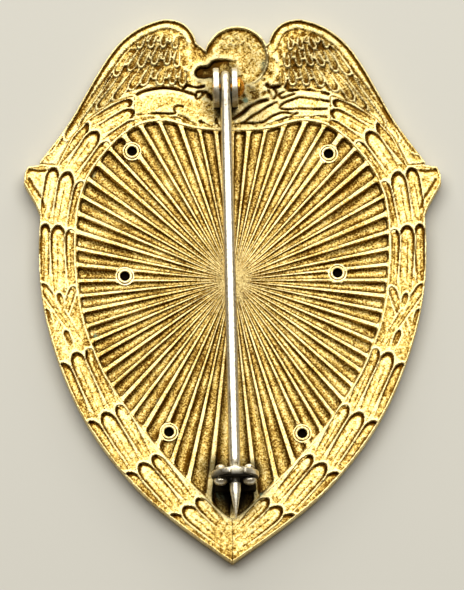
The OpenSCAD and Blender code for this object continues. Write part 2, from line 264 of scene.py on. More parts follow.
def aged_metal(material, light, middle, dark, roughness, grain, pits, bump_depth, cavity_contrast=0.8,
        mottle=1.35):
    """The nodes of an aged metal: grain, pits and patches, and the attributes cavity (tarnish, wear and
    painted shade), smoke (soot and painted shade) and green.
    """
    material.use_nodes = True
    tree = material.node_tree
    tree.nodes.clear()
    place = add(tree, "ShaderNodeTexCoord").outputs["Object"]
    stains = [add(tree, "ShaderNodeAttribute", attribute_name=key) for key in ("cavity", "smoke", "green")]
    cavity, smoke, green = (stain.outputs["Fac"] for stain in stains)
    noises = []
    for size, detail, breakup in ((grain, 3.0, 0.65), (6, 4.0, 0.6), (0.42, 4.0, 0.7)):
        noises.append(add(tree, "ShaderNodeTexNoise", {"Vector": place, "Scale": 1 / (size * MM),
            "Detail": detail, "Roughness": breakup}))
    sand, patches, specks = noises
    # Crests are light and hollows dark, as wear and tarnish and as painted highlight and shade; the patches
    # and the grain break up the change between them.
    level = add(tree, "ShaderNodeMath", {0: patches, 1: 0.6, 2: 0.05 - 0.5 * mottle},
        operation="MULTIPLY_ADD")
    level = add(tree, "ShaderNodeMath", {0: sand, 1: mottle, 2: level}, operation="MULTIPLY_ADD")
    level = add(tree, "ShaderNodeMath", {0: cavity, 1: cavity_contrast, 2: level}, operation="MULTIPLY_ADD")
    tint = add(tree, "ShaderNodeValToRGB", {"Fac": level})
    ramp = tint.color_ramp
    ramp.elements[0].position, ramp.elements[0].color = 0.0, colour(dark)
    ramp.elements[1].position, ramp.elements[1].color = 0.62, colour(light)
    ramp.elements.new(0.3).color = colour(middle)
    pit = add(tree, "ShaderNodeMapRange", {"Value": specks, "From Min": pits, "From Max": pits + 0.05,
        "To Max": 0.7})
    # A thin film of soot, and the painted shade stored with it, already takes most of the shine.
    soot_and_shade_film = add(tree, "ShaderNodeMath", {0: smoke, 1: 0.5}, operation="POWER")
    base = tint.outputs[0]
    for cover, stain in ((pit, "#4A3212"), (soot_and_shade_film, "#120E08"), (green, "#5E7A62")):
        base = add(tree, "ShaderNodeMix", {"Factor": cover, 6: base, 7: colour(stain)},
            data_type="RGBA").outputs[2]
    rough = add(tree, "ShaderNodeMath", {0: sand, 1: 0.22, 2: roughness - 0.11}, operation="MULTIPLY_ADD")
    rough = add(tree, "ShaderNodeMath", {0: smoke, 1: 0.2, 2: rough}, operation="MULTIPLY_ADD")
    metal = add(tree, "ShaderNodeMapRange", {"Value": green, "From Max": 1.0, "To Min": 1.0, "To Max": 0.3})
    bump = add(tree, "ShaderNodeBump", {"Height": sand, "Distance": bump_depth * MM, "Strength": 1.0})
    shader = add(tree, "ShaderNodeBsdfPrincipled", {"Base Color": base, "Roughness": rough,
        "Metallic": metal, "Normal": bump})
    add(tree, "ShaderNodeOutputMaterial", {"Surface": shader})


aged_metal(struck_brass, light="#F1DEA0", middle="#C6A552", dark="#583808", roughness=0.38, grain=0.24,
           pits=0.6, bump_depth=0.07, cavity_contrast=0.75, mottle=1.9)

# The tree presses the rays into the rolled-out sheet that is made below.
STRIKE_SIZES = {"Rays": RAY_COUNT, "Groove Slope": 0.03, "Crest Share": 0.19, "Wall Share": 0.2,
    "Wall Drop": 0.55, "End Gap": 0.04 * MM, "End Bow": 0.4 * MM, "End Fall": 0.25 * MM,
    "Front Share": 0.6, "Unevenness": 0.09 * MM, "Streaks": 0.1 * MM, "Middle": 3.2 * MM,
    "Muddle": 1.2 * MM, "Extra Depth": 3.0 * MM, "Deepest": 0.62 * MM, "Seed": 7}
strike, strike_ids = geometry_tree("strike_rays", STRIKE_SIZES)
sizes = add(strike, "NodeGroupInput").outputs
turn, radius, edge_gap, on_back = (
    add(strike, "GeometryNodeInputNamedAttribute", {"Name": key}, data_type="FLOAT")
    for key in ("turn", "radius", "edge_gap", "on_back"))
ray = add(strike, "ShaderNodeMath", {0: turn}, operation="FLOOR")
share = add(strike, "ShaderNodeMath", {0: turn}, operation="FRACT")
# across is 0 on a groove's valley line and 1 on the middle of the crests beside it.
valley = add(strike, "FunctionNodeRandomValue", {2: 0.36, 3: 0.64, "ID": ray, "Seed": sizes["Seed"]},
    data_type="FLOAT")
left_part = add(strike, "ShaderNodeMapRange", {"Value": share, "From Max": valley.outputs[1],
    "To Min": 1.0, "To Max": 0.0})
right_part = add(strike, "ShaderNodeMapRange", {"Value": share, "From Min": valley.outputs[1]})
across = add(strike, "ShaderNodeMath", {0: left_part, 1: right_part}, operation="MAXIMUM")
crest_edge = add(strike, "ShaderNodeMath", {0: 1.0, 1: sizes["Crest Share"]}, operation="SUBTRACT")
inward = add(strike, "ShaderNodeMapRange", {"Value": across, "From Min": crest_edge, "From Max": 0.0})
wall = add(strike, "ShaderNodeMapRange", {"Value": inward, "From Max": sizes["Wall Share"],
    "To Max": sizes["Wall Drop"]}, interpolation_type="SMOOTHSTEP")
floor_share = add(strike, "ShaderNodeMath", {0: 1.0, 1: sizes["Wall Drop"]}, operation="SUBTRACT")
drop = add(strike, "ShaderNodeMath", {0: inward, 1: floor_share, 2: wall}, operation="MULTIPLY_ADD")
# Each groove is rounded off at its outer end and dies away in the middle.
bow = add(strike, "ShaderNodeMath", {0: across, 1: across}, operation="MULTIPLY")
end_start = add(strike, "ShaderNodeMath", {0: bow, 1: sizes["End Bow"], 2: sizes["End Gap"]},
    operation="MULTIPLY_ADD")
end_stop = add(strike, "ShaderNodeMath", {0: end_start, 1: sizes["End Fall"]}, operation="ADD")
end_fade = add(strike, "ShaderNodeMapRange", {"Value": edge_gap, "From Min": end_start,
    "From Max": end_stop}, interpolation_type="SMOOTHSTEP")
drop = add(strike, "ShaderNodeMath", {0: drop, 1: end_fade}, operation="MULTIPLY")
# Near the middle the grooves stay deeper than their width asks for, then stop in a muddle. Each has its
# own depth, which is drawn apart from its valley line.
middle = add(strike, "ShaderNodeMapRange", {"Value": radius, "From Min": sizes["Muddle"],
    "From Max": sizes["Middle"]}, interpolation_type="SMOOTHSTEP")
extra = add(strike, "ShaderNodeMath", {0: middle, 1: sizes["Extra Depth"], 2: radius},
    operation="MULTIPLY_ADD")
full_depth = add(strike, "ShaderNodeMath", {0: extra, 1: sizes["Groove Slope"]}, operation="MULTIPLY")
strength = add(strike, "FunctionNodeRandomValue", {2: 0.85, 3: 1.1, "ID": ray, "Seed": sizes["Rays"]},
    data_type="FLOAT")
full_depth = add(strike, "ShaderNodeMath", {0: full_depth, 1: strength.outputs[1]}, operation="MULTIPLY")
depth = add(strike, "ShaderNodeMath", {0: drop, 1: full_depth}, operation="MULTIPLY")
# The rolled-out turn becomes an angle, and the sheet is wrapped round the ray centre.
angle = add(strike, "ShaderNodeMath", {0: turn, 1: 2 * math.pi}, operation="MULTIPLY")
angle = add(strike, "ShaderNodeMath", {0: angle, 1: sizes["Rays"]}, operation="DIVIDE")
centred = []
for function, centre in zip(("COSINE", "SINE"), RAY_CENTRE):
    swing = add(strike, "ShaderNodeMath", {0: angle}, operation=function)
    centred.append(add(strike, "ShaderNodeMath", {0: swing, 1: radius, 2: centre * MM},
        operation="MULTIPLY_ADD"))
x_place, y_place = centred
flat_place = add(strike, "ShaderNodeCombineXYZ", {"X": x_place, "Y": y_place})
ripple = add(strike, "ShaderNodeTexNoise", {"Vector": flat_place, "Scale": 1 / (1.4 * MM), "Detail": 2.0})
ripple = add(strike, "ShaderNodeMath", {0: ripple, 1: 0.5}, operation="SUBTRACT")
ripple = add(strike, "ShaderNodeMath", {0: ripple, 1: sizes["Unevenness"]}, operation="MULTIPLY")
back_z = add(strike, "ShaderNodeMath", {0: FIELD_Z * MM, 1: depth}, operation="SUBTRACT")
back_z = add(strike, "ShaderNodeMath", {0: back_z, 1: ripple}, operation="ADD")
# Drag lines run along the rays, and the middle is pitted by the ends of all the die cutter's strokes.
drag_place = add(strike, "ShaderNodeMath", {0: turn, 1: 3.2}, operation="MULTIPLY")
drag_along = add(strike, "ShaderNodeMath", {0: radius, 1: 1 / (4.5 * MM)}, operation="MULTIPLY")
drag_place = add(strike, "ShaderNodeCombineXYZ", {"X": drag_place, "Y": drag_along})
drag = add(strike, "ShaderNodeTexNoise", {"Vector": drag_place, "Scale": 1.0, "Detail": 3.0})
muddle = add(strike, "ShaderNodeTexNoise", {"Vector": flat_place, "Scale": 1 / (0.5 * MM), "Detail": 2.0})
drag = add(strike, "ShaderNodeMix", {"Factor": middle, 2: muddle, 3: drag}, data_type="FLOAT")
drag = add(strike, "ShaderNodeMath", {0: drag, 1: 0.5}, operation="SUBTRACT")
drag_height = add(strike, "ShaderNodeMath", {0: drag, 1: sizes["Streaks"]}, operation="MULTIPLY")
back_z = add(strike, "ShaderNodeMath", {0: back_z, 1: drag_height}, operation="ADD")
deepest = add(strike, "ShaderNodeMath", {0: sizes["Deepest"], 1: depth}, operation="SUBTRACT")
front_z = add(strike, "ShaderNodeMath", {0: deepest, 1: sizes["Front Share"], 2: FRONT_Z * MM},
    operation="MULTIPLY_ADD")
front_z = add(strike, "ShaderNodeMath", {0: front_z, 1: (FRONT_Z + 0.02) * MM}, operation="MAXIMUM")
height = add(strike, "ShaderNodeMix", {"Factor": on_back, 2: front_z, 3: back_z}, data_type="FLOAT")
place = add(strike, "ShaderNodeCombineXYZ", {"X": x_place, "Y": y_place, "Z": height})
pressed = add(strike, "GeometryNodeSetPosition", {"Geometry": sizes["Geometry"], "Position": place})
# Tarnish and painted shade sit at the foot of the steep walls and thin out towards the valley line; the
# crests are painted lighter.
foot = add(strike, "ShaderNodeMapRange", {"Value": inward, "From Max": sizes["Wall Share"]},
    interpolation_type="SMOOTHSTEP")
thinning = add(strike, "ShaderNodeMapRange", {"Value": inward, "From Min": sizes["Wall Share"],
    "From Max": 0.9, "To Min": 1.0, "To Max": 0.4})
tarnish_and_shade = add(strike, "ShaderNodeMath", {0: foot, 1: thinning}, operation="MULTIPLY")
wear_and_shade = add(strike, "ShaderNodeMath", {0: tarnish_and_shade, 1: -0.75, 2: 0.22}, operation="MULTIPLY_ADD")
wear_and_shade = add(strike, "ShaderNodeMath", {0: drag, 1: 1.3, 2: wear_and_shade}, operation="MULTIPLY_ADD")
rubbed = add(strike, "ShaderNodeMapRange", {"Value": radius, "From Min": 1.5 * MM, "From Max": 5.5 * MM,
    "To Min": 0.35, "To Max": 0.0})
wear_and_shade = add(strike, "ShaderNodeMath", {0: wear_and_shade, 1: rubbed}, operation="ADD")
marked = add(strike, "GeometryNodeStoreNamedAttribute", {"Geometry": pressed, "Name": "cavity",
    "Value": wear_and_shade}, data_type="FLOAT", domain="POINT")
whole = add(strike, "GeometryNodeRealizeInstances", {"Geometry": marked})
finished = add(strike, "GeometryNodeSetMaterial", {"Geometry": whole, "Material": struck_brass})
add(strike, "NodeGroupOutput", {"Geometry": finished})

# The rolled-out sheet: closed rings from the middle of the back, over the rim, to the middle of the
# front. The samples in a ray crowd where the crest meets the wall.
RAY_SAMPLES = (0, 0.075, 0.1, 0.13, 0.165, 0.21, 0.32, 0.5, 0.68, 0.79, 0.835, 0.87, 0.9, 0.925)
END_GAPS = (1.1, 0.92, 0.78, 0.66, 0.55, 0.45, 0.35, 0.26, 0.17, 0.09, 0.0, -0.12, -FIELD_LAP)
turns = np.array([i + s for i in range(RAY_COUNT) for s in RAY_SAMPLES])
edges = edge_radius(turns * 2 * math.pi / RAY_COUNT)
INNER_RINGS = 42
inner_shares = (np.arange(1, INNER_RINGS + 1) / INNER_RINGS) ** 0.9
rings = [(share * (edges - 1.3), True) for share in inner_shares]
rings += [(edges - gap, True) for gap in END_GAPS]
rings += [(edges + FIELD_LAP, False), (edges - 0.1, False)]
rings += [(share * (edges - 0.8), False) for share in inner_shares[::-2]]
columns = len(turns)
faces = ring_faces(len(rings), columns)
back_pole, front_pole = len(rings) * columns, len(rings) * columns + 1
last = (len(rings) - 1) * columns
for k in range(columns):
    faces.append((back_pole, k, (k + 1) % columns))
    faces.append((front_pole, last + (k + 1) % columns, last + k))
ring_radii = np.concatenate([r for r, _ in rings] + [[0, 0]])
ring_sides = np.concatenate([np.full(columns, float(back)) for _, back in rings] + [[1, 0]])
all_turns = np.concatenate([np.tile(turns, len(rings)), [0, 0]])
all_gaps = np.concatenate([edges - r for r, _ in rings] + [[20, 20]])
sheet = mesh_object("sheet", np.zeros((len(ring_radii), 3)), faces, turn=all_turns, radius=ring_radii * MM,
                    edge_gap=all_gaps * MM, on_back=ring_sides)
field = run_tree(sheet, strike, strike_ids, STRIKE_SIZES, "struck_field")

# Each rivet has a hole through the field and a round seat milled round it.
seat_profile = [(0, -1), (HOLE_RADIUS, -1), (HOLE_RADIUS, SEAT_Z), (SEAT_RADIUS, SEAT_Z), (SEAT_RADIUS, 4),
    (0, 4)]
points, faces = turned(seat_profile, RIVET_PLACES)
field = drilled(field, mesh_object("rivet_cutter", points, faces), "sunburst_field", smooth_angle=50)


def seat_bare_metal_and_sheen(x, y, z):
    """The milled seats are bare metal, painted lighter also as a painted sheen; the rest keeps what the
    strike gave it.
    """
    nearest = np.min([np.hypot(x - px, y - py) for px, py in RIVET_PLACES], axis=0)
    return np.where((nearest < SEAT_RADIUS + 0.02) & (z > SEAT_Z - 0.03), SEAT_SHINE, np.nan)


mark(field, "cavity", seat_bare_metal_and_sheen)
for key, places in (("smoke", SOOT_AND_SHADE_SPOTS), ("green", GREEN)):
    mark(field, key, lambda x, y, z: spots(x, y, places) * (z > BACK_MIDDLE_Z))
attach(field, "badge")
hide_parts("badge_plate")

# ---- Border of leaves -----------------------------------------------------------------------------
# The same sheet of brass all round the field. A laurel border was struck up on the front, so its back
# is hollow: each leaf is a shallow trough, deepest round its tip, with a thin ridge between leaves.

SIDE_POINTS = (
    (0, -37.9), (3.9, -35.1), (7.6, -32.3), (11.6, -28.9), (15.1, -25.1), (18.4, -20.7), (21.2, -15.8),
    (23.5, -10.2), (25.1, -4.8), (26, 0.3), (26.3, 5.4), (26.1, 10.6))
TAB_POINTS = ((26.7, 12.1), (28.3, 14.95), (28.25, 16.25), (27.8, 17.25), (26.1, 17.5))
WING_POINTS = (
    (26.2, 17.9), (24.1, 20.7), (21.9, 23.9), (19.8, 27.7), (18.3, 30.4), (16.6, 33.1), (14.9, 35.1),
    (12.6, 36.8), (10, 37.8), (8.3, 37.9), (6.6, 37.3), (5.4, 36), (4.9, 34.6))
HEAD_CENTRE = (0.6, 32.6)
HEAD_RADIUS = 4.4
# The line that parts the border from the crest, right side, from the shoulder to the field.
PART_LINE = ((30, 17.6), (26, 17.6), (23.8, 17.4), (21.8, 21.4), (19.5, 24), (16.6, 26.1), (13.3, 27.2),
    (13.1, 14))
RELIEF_STEP = 0.125
FRONT_RELIEF_Z = 0.36   # the lowest point of the front of border and crest
# Tip and end of every leaf on the right side, from the crest down: outer, middle and inner.
LEAVES = (
    ((13.6, 26.5), (20.4, 22.9), 1.5), ((13.3, 25.1), (19.4, 21.6), 1.8), ((13.1, 23.6), (18.2, 20.2), 1.4),
    ((19.7, 23.5), (24.9, 16.6), 1.9), ((18.3, 22.2), (22.6, 15.8), 2.1), ((16.9, 20.7), (21, 15), 1.5),
    ((24.2, 17.2), (25.8, 8.4), 1.9), ((22.3, 16.6), (23.9, 7.6), 2.2), ((20.5, 15.2), (22.2, 7.6), 1.6),
    ((25.4, 9.3), (25.5, -1.2), 1.5), ((23.7, 9.1), (23.5, -1), 2.15), ((22, 8.5), (21.7, -0.6), 1.6),
    ((23.2, -10.2), (19, -20), 2.0), ((21.4, -8.7), (17.2, -18.9), 2.2), ((19.6, -8.2), (15.3, -18.2), 1.7),
    ((19.5, -18.3), (13.6, -26.9), 2.0), ((17.5, -17.1), (12.2, -25.9), 2.2),
    ((15.6, -16.1), (10.6, -24.8), 1.7),
    ((14.4, -25.5), (7.8, -32.5), 2.0), ((12.6, -24.2), (6.2, -31.9), 2.25),
    ((10.8, -23.1), (4.8, -30.4), 1.75),
    ((8.5, -31.4), (0.7, -37.2), 2.0), ((6.7, -30.3), (0.3, -35.8), 2.25), ((4.9, -29.1), (0.2, -34), 1.75))
# Lines struck on the shoulder tabs.
TAB_LINES = (((27.9, 16.8), (26.2, 16.6), (24.4, 16.8)),
             ((27.6, 15.5), (26.9, 14.3), (26.0, 12.9), (25.6, 11.6)))


def smooth_path(points, steps=4):
    """The smooth curve through the points, with some steps between each two."""
    path = []
    for i in range(len(points) - 1):
        near = [np.array(points[min(max(i + k, 0), len(points) - 1)], float) for k in (-1, 0, 1, 2)]
        path += [between(*near, step / steps) for step in range(steps)]
    return path + [np.array(points[-1], float)]


def line_distance(x, y, path):
    """Distance from an open line at every point of the grid."""
    nearest = np.full(x.shape, 1e9)
    for (ax, ay), (bx, by) in zip(path, path[1:]):
        dx, dy = bx - ax, by - ay
        t = np.clip(((x - ax) * dx + (y - ay) * dy) / (dx * dx + dy * dy + 1e-12), 0, 1)
        nearest = np.minimum(nearest, (x - ax - t * dx) ** 2 + (y - ay - t * dy) ** 2)
    return np.sqrt(nearest)


def inside_distance(x, y, loop):
    """Distance from the closed outline at every point of the grid, positive inside."""
    loop = np.array(loop, float)
    crossings = np.zeros(x.shape, int)
    for (ax, ay), (bx, by) in zip(loop, np.roll(loop, -1, 0)):
        crossings += ((ay > y) != (by > y)) & (x < (y - ay) * (bx - ax) / ((by - ay) or 1e-12) + ax)
    return np.where(crossings % 2 == 1, 1, -1) * line_distance(x, y, np.concatenate([loop, loop[:1]]))


half = smooth_path(SIDE_POINTS) + [np.array(p, float) for p in TAB_POINTS] + smooth_path(WING_POINTS, 3)
other_half = [np.array((-x, y)) for x, y in half[::-1]]
SHIELD_LOOP = half + [np.array((3, 33.0)), np.array((-3, 33.0))] + other_half
CREST_ZONE = list(PART_LINE) + [(-x, y) for x, y in PART_LINE[::-1]] + [(-30, 45), (30, 45)]


def shield_distance(x, y):
    """Distance inside the badge's outline, where the head adds to the shield."""
    head = HEAD_RADIUS - np.hypot(x - HEAD_CENTRE[0], y - HEAD_CENTRE[1])
    return np.maximum(inside_distance(x, y, SHIELD_LOOP), head)


def field_gap(x, y):
    """How far a point lies outside the field's edge."""
    dx, dy = x - RAY_CENTRE[0], y - RAY_CENTRE[1]
    around = np.linspace(-math.pi, math.pi, 241)[:-1]
    reach = edge_radius(around)
    loop = np.stack([RAY_CENTRE[0] + reach * np.cos(around), RAY_CENTRE[1] + reach * np.sin(around)], 1)
    return -inside_distance(x, y, loop)


def trough(depth, x, y, tip, end, width, deep, shallow, fall=0.13, lip=0.14, bow=0.0, under=0.0, tail=0.75):
    """Presses one leaf or feather into the depths: a rounded tip, a tapered end and a thin ridge round it."""
    tip, end = np.array(tip, float), np.array(end, float)
    length = float(np.hypot(*(end - tip)))
    along = (end - tip) / length
    s = (x - tip[0]) * along[0] + (y - tip[1]) * along[1]
    d = (y - tip[1]) * along[0] - (x - tip[0]) * along[1]
    radius = width / 2
    t = np.clip(s / length, 0, 1)
    d = d - bow * 4 * t * (1 - t)
    cap = min(1.8 * radius, length / 2)
    spine = np.clip(s, cap, max(length - radius * 0.3, cap))
    reach = radius * (1 - 0.4 * np.clip((spine - cap) / length, 0, 1) ** 1.6)
    e = reach - np.hypot((s - spine) * np.where(s < spine, radius / cap, 1.0), d)
    floor = shallow * (0.45 + 0.55 * np.exp(-t / 0.3))
    wall = (deep - shallow) * (0.3 + 0.7 * np.exp(-t / 0.16))
    inside = floor + wall * np.exp(-np.maximum(e - fall, 0) / 0.13)
    inside = under + (inside - under) * (1 - tail * smoothstep(t, 0.35, 1.0))
    crease = 0.06 * np.exp(-((d - 0.12 * radius) / 0.08) ** 2)
    crease = crease * smoothstep(t, 0.15, 0.3) * (1 - smoothstep(t, 0.6, 0.9))
    pressed = smoothstep(e, 0.0, fall) * inside + crease * (e > fall)
    own = smoothstep(e, -lip - 0.1, -lip) * np.where(e > 0, 1.0, 1 - smoothstep(t, 0.45, 0.85))
    own = own * np.where(e > 0, 1 - smoothstep(t, 0.92, 1.02), 1.0)
    return depth * (1 - own) + pressed * own


def box_blur(values, reach):
    """Three passes of a running mean along both axes of a grid."""
    for _ in range(3):
        for axis in (0, 1):
            padded = np.pad(values, [(reach + 1, reach) if k == axis else (0, 0) for k in (0, 1)],
                mode="edge")
            total = np.cumsum(padded, axis=axis)
            high = np.take(total, range(2 * reach + 1, total.shape[axis]), axis=axis)
            low = np.take(total, range(0, total.shape[axis] - 2 * reach - 1), axis=axis)
            values = (high - low) / (2 * reach + 1)
    return values


def cut_grid(x, y, depth, crest, gap):
    """Points and faces of the part of a grid where gap isn't negative, cut off along its zero line."""
    kept = gap >= 0
    number = np.cumsum(kept.ravel()).reshape(kept.shape) - 1
    rows = np.stack([x[kept], y[kept], depth[kept], crest[kept], gap[kept]], 1).tolist()
    quads = kept[:-1, :-1] & kept[:-1, 1:] & kept[1:, 1:] & kept[1:, :-1]
    i, j = np.nonzero(quads)
    faces = np.stack([number[i, j], number[i, j + 1], number[i + 1, j + 1], number[i + 1, j]], 1).tolist()
    some = (kept[:-1, :-1] | kept[:-1, 1:] | kept[1:, 1:] | kept[1:, :-1]) & ~quads
    cut = {}
    for i, j in zip(*np.nonzero(some)):
        ring = [(i, j), (i, j + 1), (i + 1, j + 1), (i + 1, j)]
        corners = []
        for a, b in zip(ring, ring[1:] + ring[:1]):
            if kept[a]:
                corners.append(int(number[a]))
            if (gap[a] > 0 and gap[b] < 0) or (gap[a] < 0 and gap[b] > 0):
                key = (min(a, b), max(a, b))
                if key not in cut:
                    t = gap[a] / (gap[a] - gap[b])
                    cut[key] = len(rows)
                    rows.append([v[a] + t * (v[b] - v[a]) for v in (x, y, depth, crest)] + [0.0])
                corners.append(cut[key])
        if len(corners) > 2:
            faces.append(corners)
    # A face whose corners all lie on the edge would make a flap, so it goes.
    faces = [f for f in faces if any(rows[k][4] > 0 for k in f)]
    used = sorted({k for f in faces for k in f})
    fresh = {k: n for n, k in enumerate(used)}
    faces = [[fresh[k] for k in f] for f in faces]
    return np.array([rows[k] for k in used]).T[:4], faces


def struck_piece(name, low, high, zone, relief, front_share, shade_and_wear_depth=0.09):
    """A closed shell: a fine grid cut off at the zone's edge, its back and front pressed to the relief."""
    xs = np.arange(low[0], high[0] + RELIEF_STEP, RELIEF_STEP)
    ys = np.arange(low[1], high[1] + RELIEF_STEP, RELIEF_STEP)
    x, y = np.meshgrid(xs, ys)
    gap = zone(x, y)
    depth = relief(x, y, gap)
    # Hollows are painted darker and raised parts lighter: tarnish and wear together with painted shade and
    # highlight.
    crest = np.clip((box_blur(depth, 3) - depth) / shade_and_wear_depth, -1, 0.6)
    # Grid points close to the edge are moved onto it, so that no sliver is left along it.
    slope_y, slope_x = np.gradient(gap, RELIEF_STEP)
    steep = np.maximum(np.hypot(slope_x, slope_y), 0.3)
    near = np.abs(gap) < 0.35 * RELIEF_STEP
    x = np.where(near, x - gap * slope_x / steep ** 2, x)
    y = np.where(near, y - gap * slope_y / steep ** 2, y)
    gap = np.where(near, 0.0, gap)
    (px, py, pressed, raised), faces = cut_grid(x, y, depth, crest, gap)
    count = len(px)
    directed = {(a, b) for f in faces for a, b in zip(f, f[1:] + f[:1])}
    rim = [(a, b) for a, b in directed if (b, a) not in directed]
    on_rim = np.zeros(count, bool)
    on_rim[[k for pair in rim for k in pair]] = True
    back_z = RIM_Z - pressed - np.where(on_rim, 0.05, 0)
    front_z = FRONT_RELIEF_Z + front_share * (0.45 - np.minimum(pressed, 0.45)) + np.where(on_rim, 0.12, 0)
    points = np.concatenate([np.stack([px, py, back_z], 1), np.stack([px, py, front_z], 1)])
    faces += [[k + count for k in f[::-1]] for f in faces]
    faces += [[b, a, a + count, b + count] for a, b in rim]
    made = mesh_object(name, points, faces, smooth_angle=65, cavity=np.concatenate([raised, raised * 0.5]),
                       smoke=np.concatenate([spots(px, py, SOOT_AND_SHADE_SPOTS), np.zeros(count)]),
                       green=np.concatenate([spots(px, py, GREEN), np.zeros(count)]))
    made.data.materials.append(struck_brass)
    return made


def border_relief(x, y, gap):
    """Depths of the leaf border; both sides are struck from mirrored lines."""
    side = np.abs(x)
    outer = shield_distance(x, y)
    inner = field_gap(x, y)
    depth = np.full(x.shape, 0.07)
    for tip, end, width in LEAVES:
        depth = trough(depth, side, y, tip, end, width, deep=0.5, shallow=0.16, under=0.06)
    # A ribbon is tied crosswise round the leaves half way up.
    for start, stop, width in (((21.5, 0.5), (24.5, -8.6), 1.15), ((26.0, 0.9), (20.1, -8.0), 1.35)):
        depth = trough(depth, side, y, start, stop, width, deep=0.28, shallow=0.08, under=0.05, tail=0.1)
    for tip, end in (((23.6, -0.4), (23, -2.7)), ((25.4, -2.6), (24.4, -5.4)),
            ((22.7, -5.6), (21.6, -8.4))):
        depth = trough(depth, side, y, tip, end, 0.9, deep=0.34, shallow=0.14, under=0.05)
    bead = 1 - smoothstep(inner, 0.22, 0.36)
    depth = depth * (1 - bead) + 0.3 * smoothstep(0.12 - inner, 0.0, 0.2) * bead
    for path in TAB_LINES:
        depth = depth + 0.12 * np.exp(-(line_distance(side, y, path) / 0.15) ** 2)
    # The rim stays up along the outline, and beside the wings along the crest as well.
    lip = 1 - smoothstep(np.where(side < 14, outer, np.minimum(outer, gap + 0.05)), 0.14, 0.26)
    depth = depth * (1 - lip)
    return depth + 0.022 * speckle(x, y, 0.45, 3) + 0.02 * speckle(x, y, 1.6, 4)


def border_zone(side):
    """The region of the border on one side of the middle line, as a distance inside it."""
    def zone(x, y):
        return np.minimum.reduce([shield_distance(x, y), -inside_distance(x, y, CREST_ZONE),
                                  field_gap(x, y), side * x])
    return zone


for side, name in ((-1, "border_left"), (1, "border_right")):
    low, high = ((0, -38.2), (28.7, 27.6)) if side > 0 else ((-28.7, -38.2), (0, 27.6))
    border = struck_piece(name, low, high, border_zone(side), border_relief, front_share=0.5)
    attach(border, "badge")
    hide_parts("badge_plate")

# ---- Eagle crest ----------------------------------------------------------------------------------
# The top of the same sheet: two raised wings, the head and a scroll under them. The back is their
# hollow, with a channel along each wing's leading edge, and it was never cleaned up.

# Root, tip and width of the feathers of the left wing, from the long ones up to the small ones.
FEATHERS = (
    ((-17.9, 30.2), (-25.2, 19.2), 1.25), ((-16.9, 30.4), (-22.6, 20.8), 1.3),
    ((-15.9, 30.2), (-20.6, 22.9), 1.2), ((-14.9, 30.4), (-18.4, 25.2), 1.2),
    ((-13.6, 30.6), (-16.3, 26.6), 1.15), ((-12.3, 30.8), (-14, 28), 1.1),
    ((-10.9, 31.2), (-12.1, 28.6), 1.05), ((-9.4, 31.2), (-10, 28.9), 1.0), ((-8, 31), (-8.3, 28.8), 0.95),
    ((-6.6, 31), (-6.7, 28.6), 0.9), ((-16.6, 32.8), (-19.2, 29), 1.0),
    ((-15.2, 33.4), (-17.6, 29.6), 1.0), ((-13.9, 33.6), (-15.9, 30.2), 0.95),
    ((-12.6, 33.9), (-14.2, 30.8), 0.9), ((-11.2, 34), (-12.4, 31.4), 0.85),
    ((-9.9, 34), (-10.7, 31.6), 0.8), ((-8.6, 33.8), (-9, 31.6), 0.75), ((-7.3, 33.6), (-7.5, 31.4), 0.7),
    ((-14.6, 35), (-15.9, 33), 0.75), ((-13.3, 35.4), (-14.3, 33.6), 0.7),
    ((-11.9, 35.7), (-12.7, 33.9), 0.7), ((-10.5, 35.8), (-11.1, 34), 0.65),
    ((-9.1, 35.8), (-9.4, 34), 0.65), ((-7.8, 35.4), (-8, 33.8), 0.6))
ROW_BREAK = 2           # roots further apart than this belong to different rows
BEAK_POINTS = (
    (1.6, 32), (-0.6, 32.55), (-2.6, 32.3), (-3.4, 31.55), (-4.4, 31.5), (-5.2, 30.7), (-4.9, 29.8),
    (-3.8, 29.65), (-2.6, 29.8), (-0.8, 29.3), (1.2, 30.2))

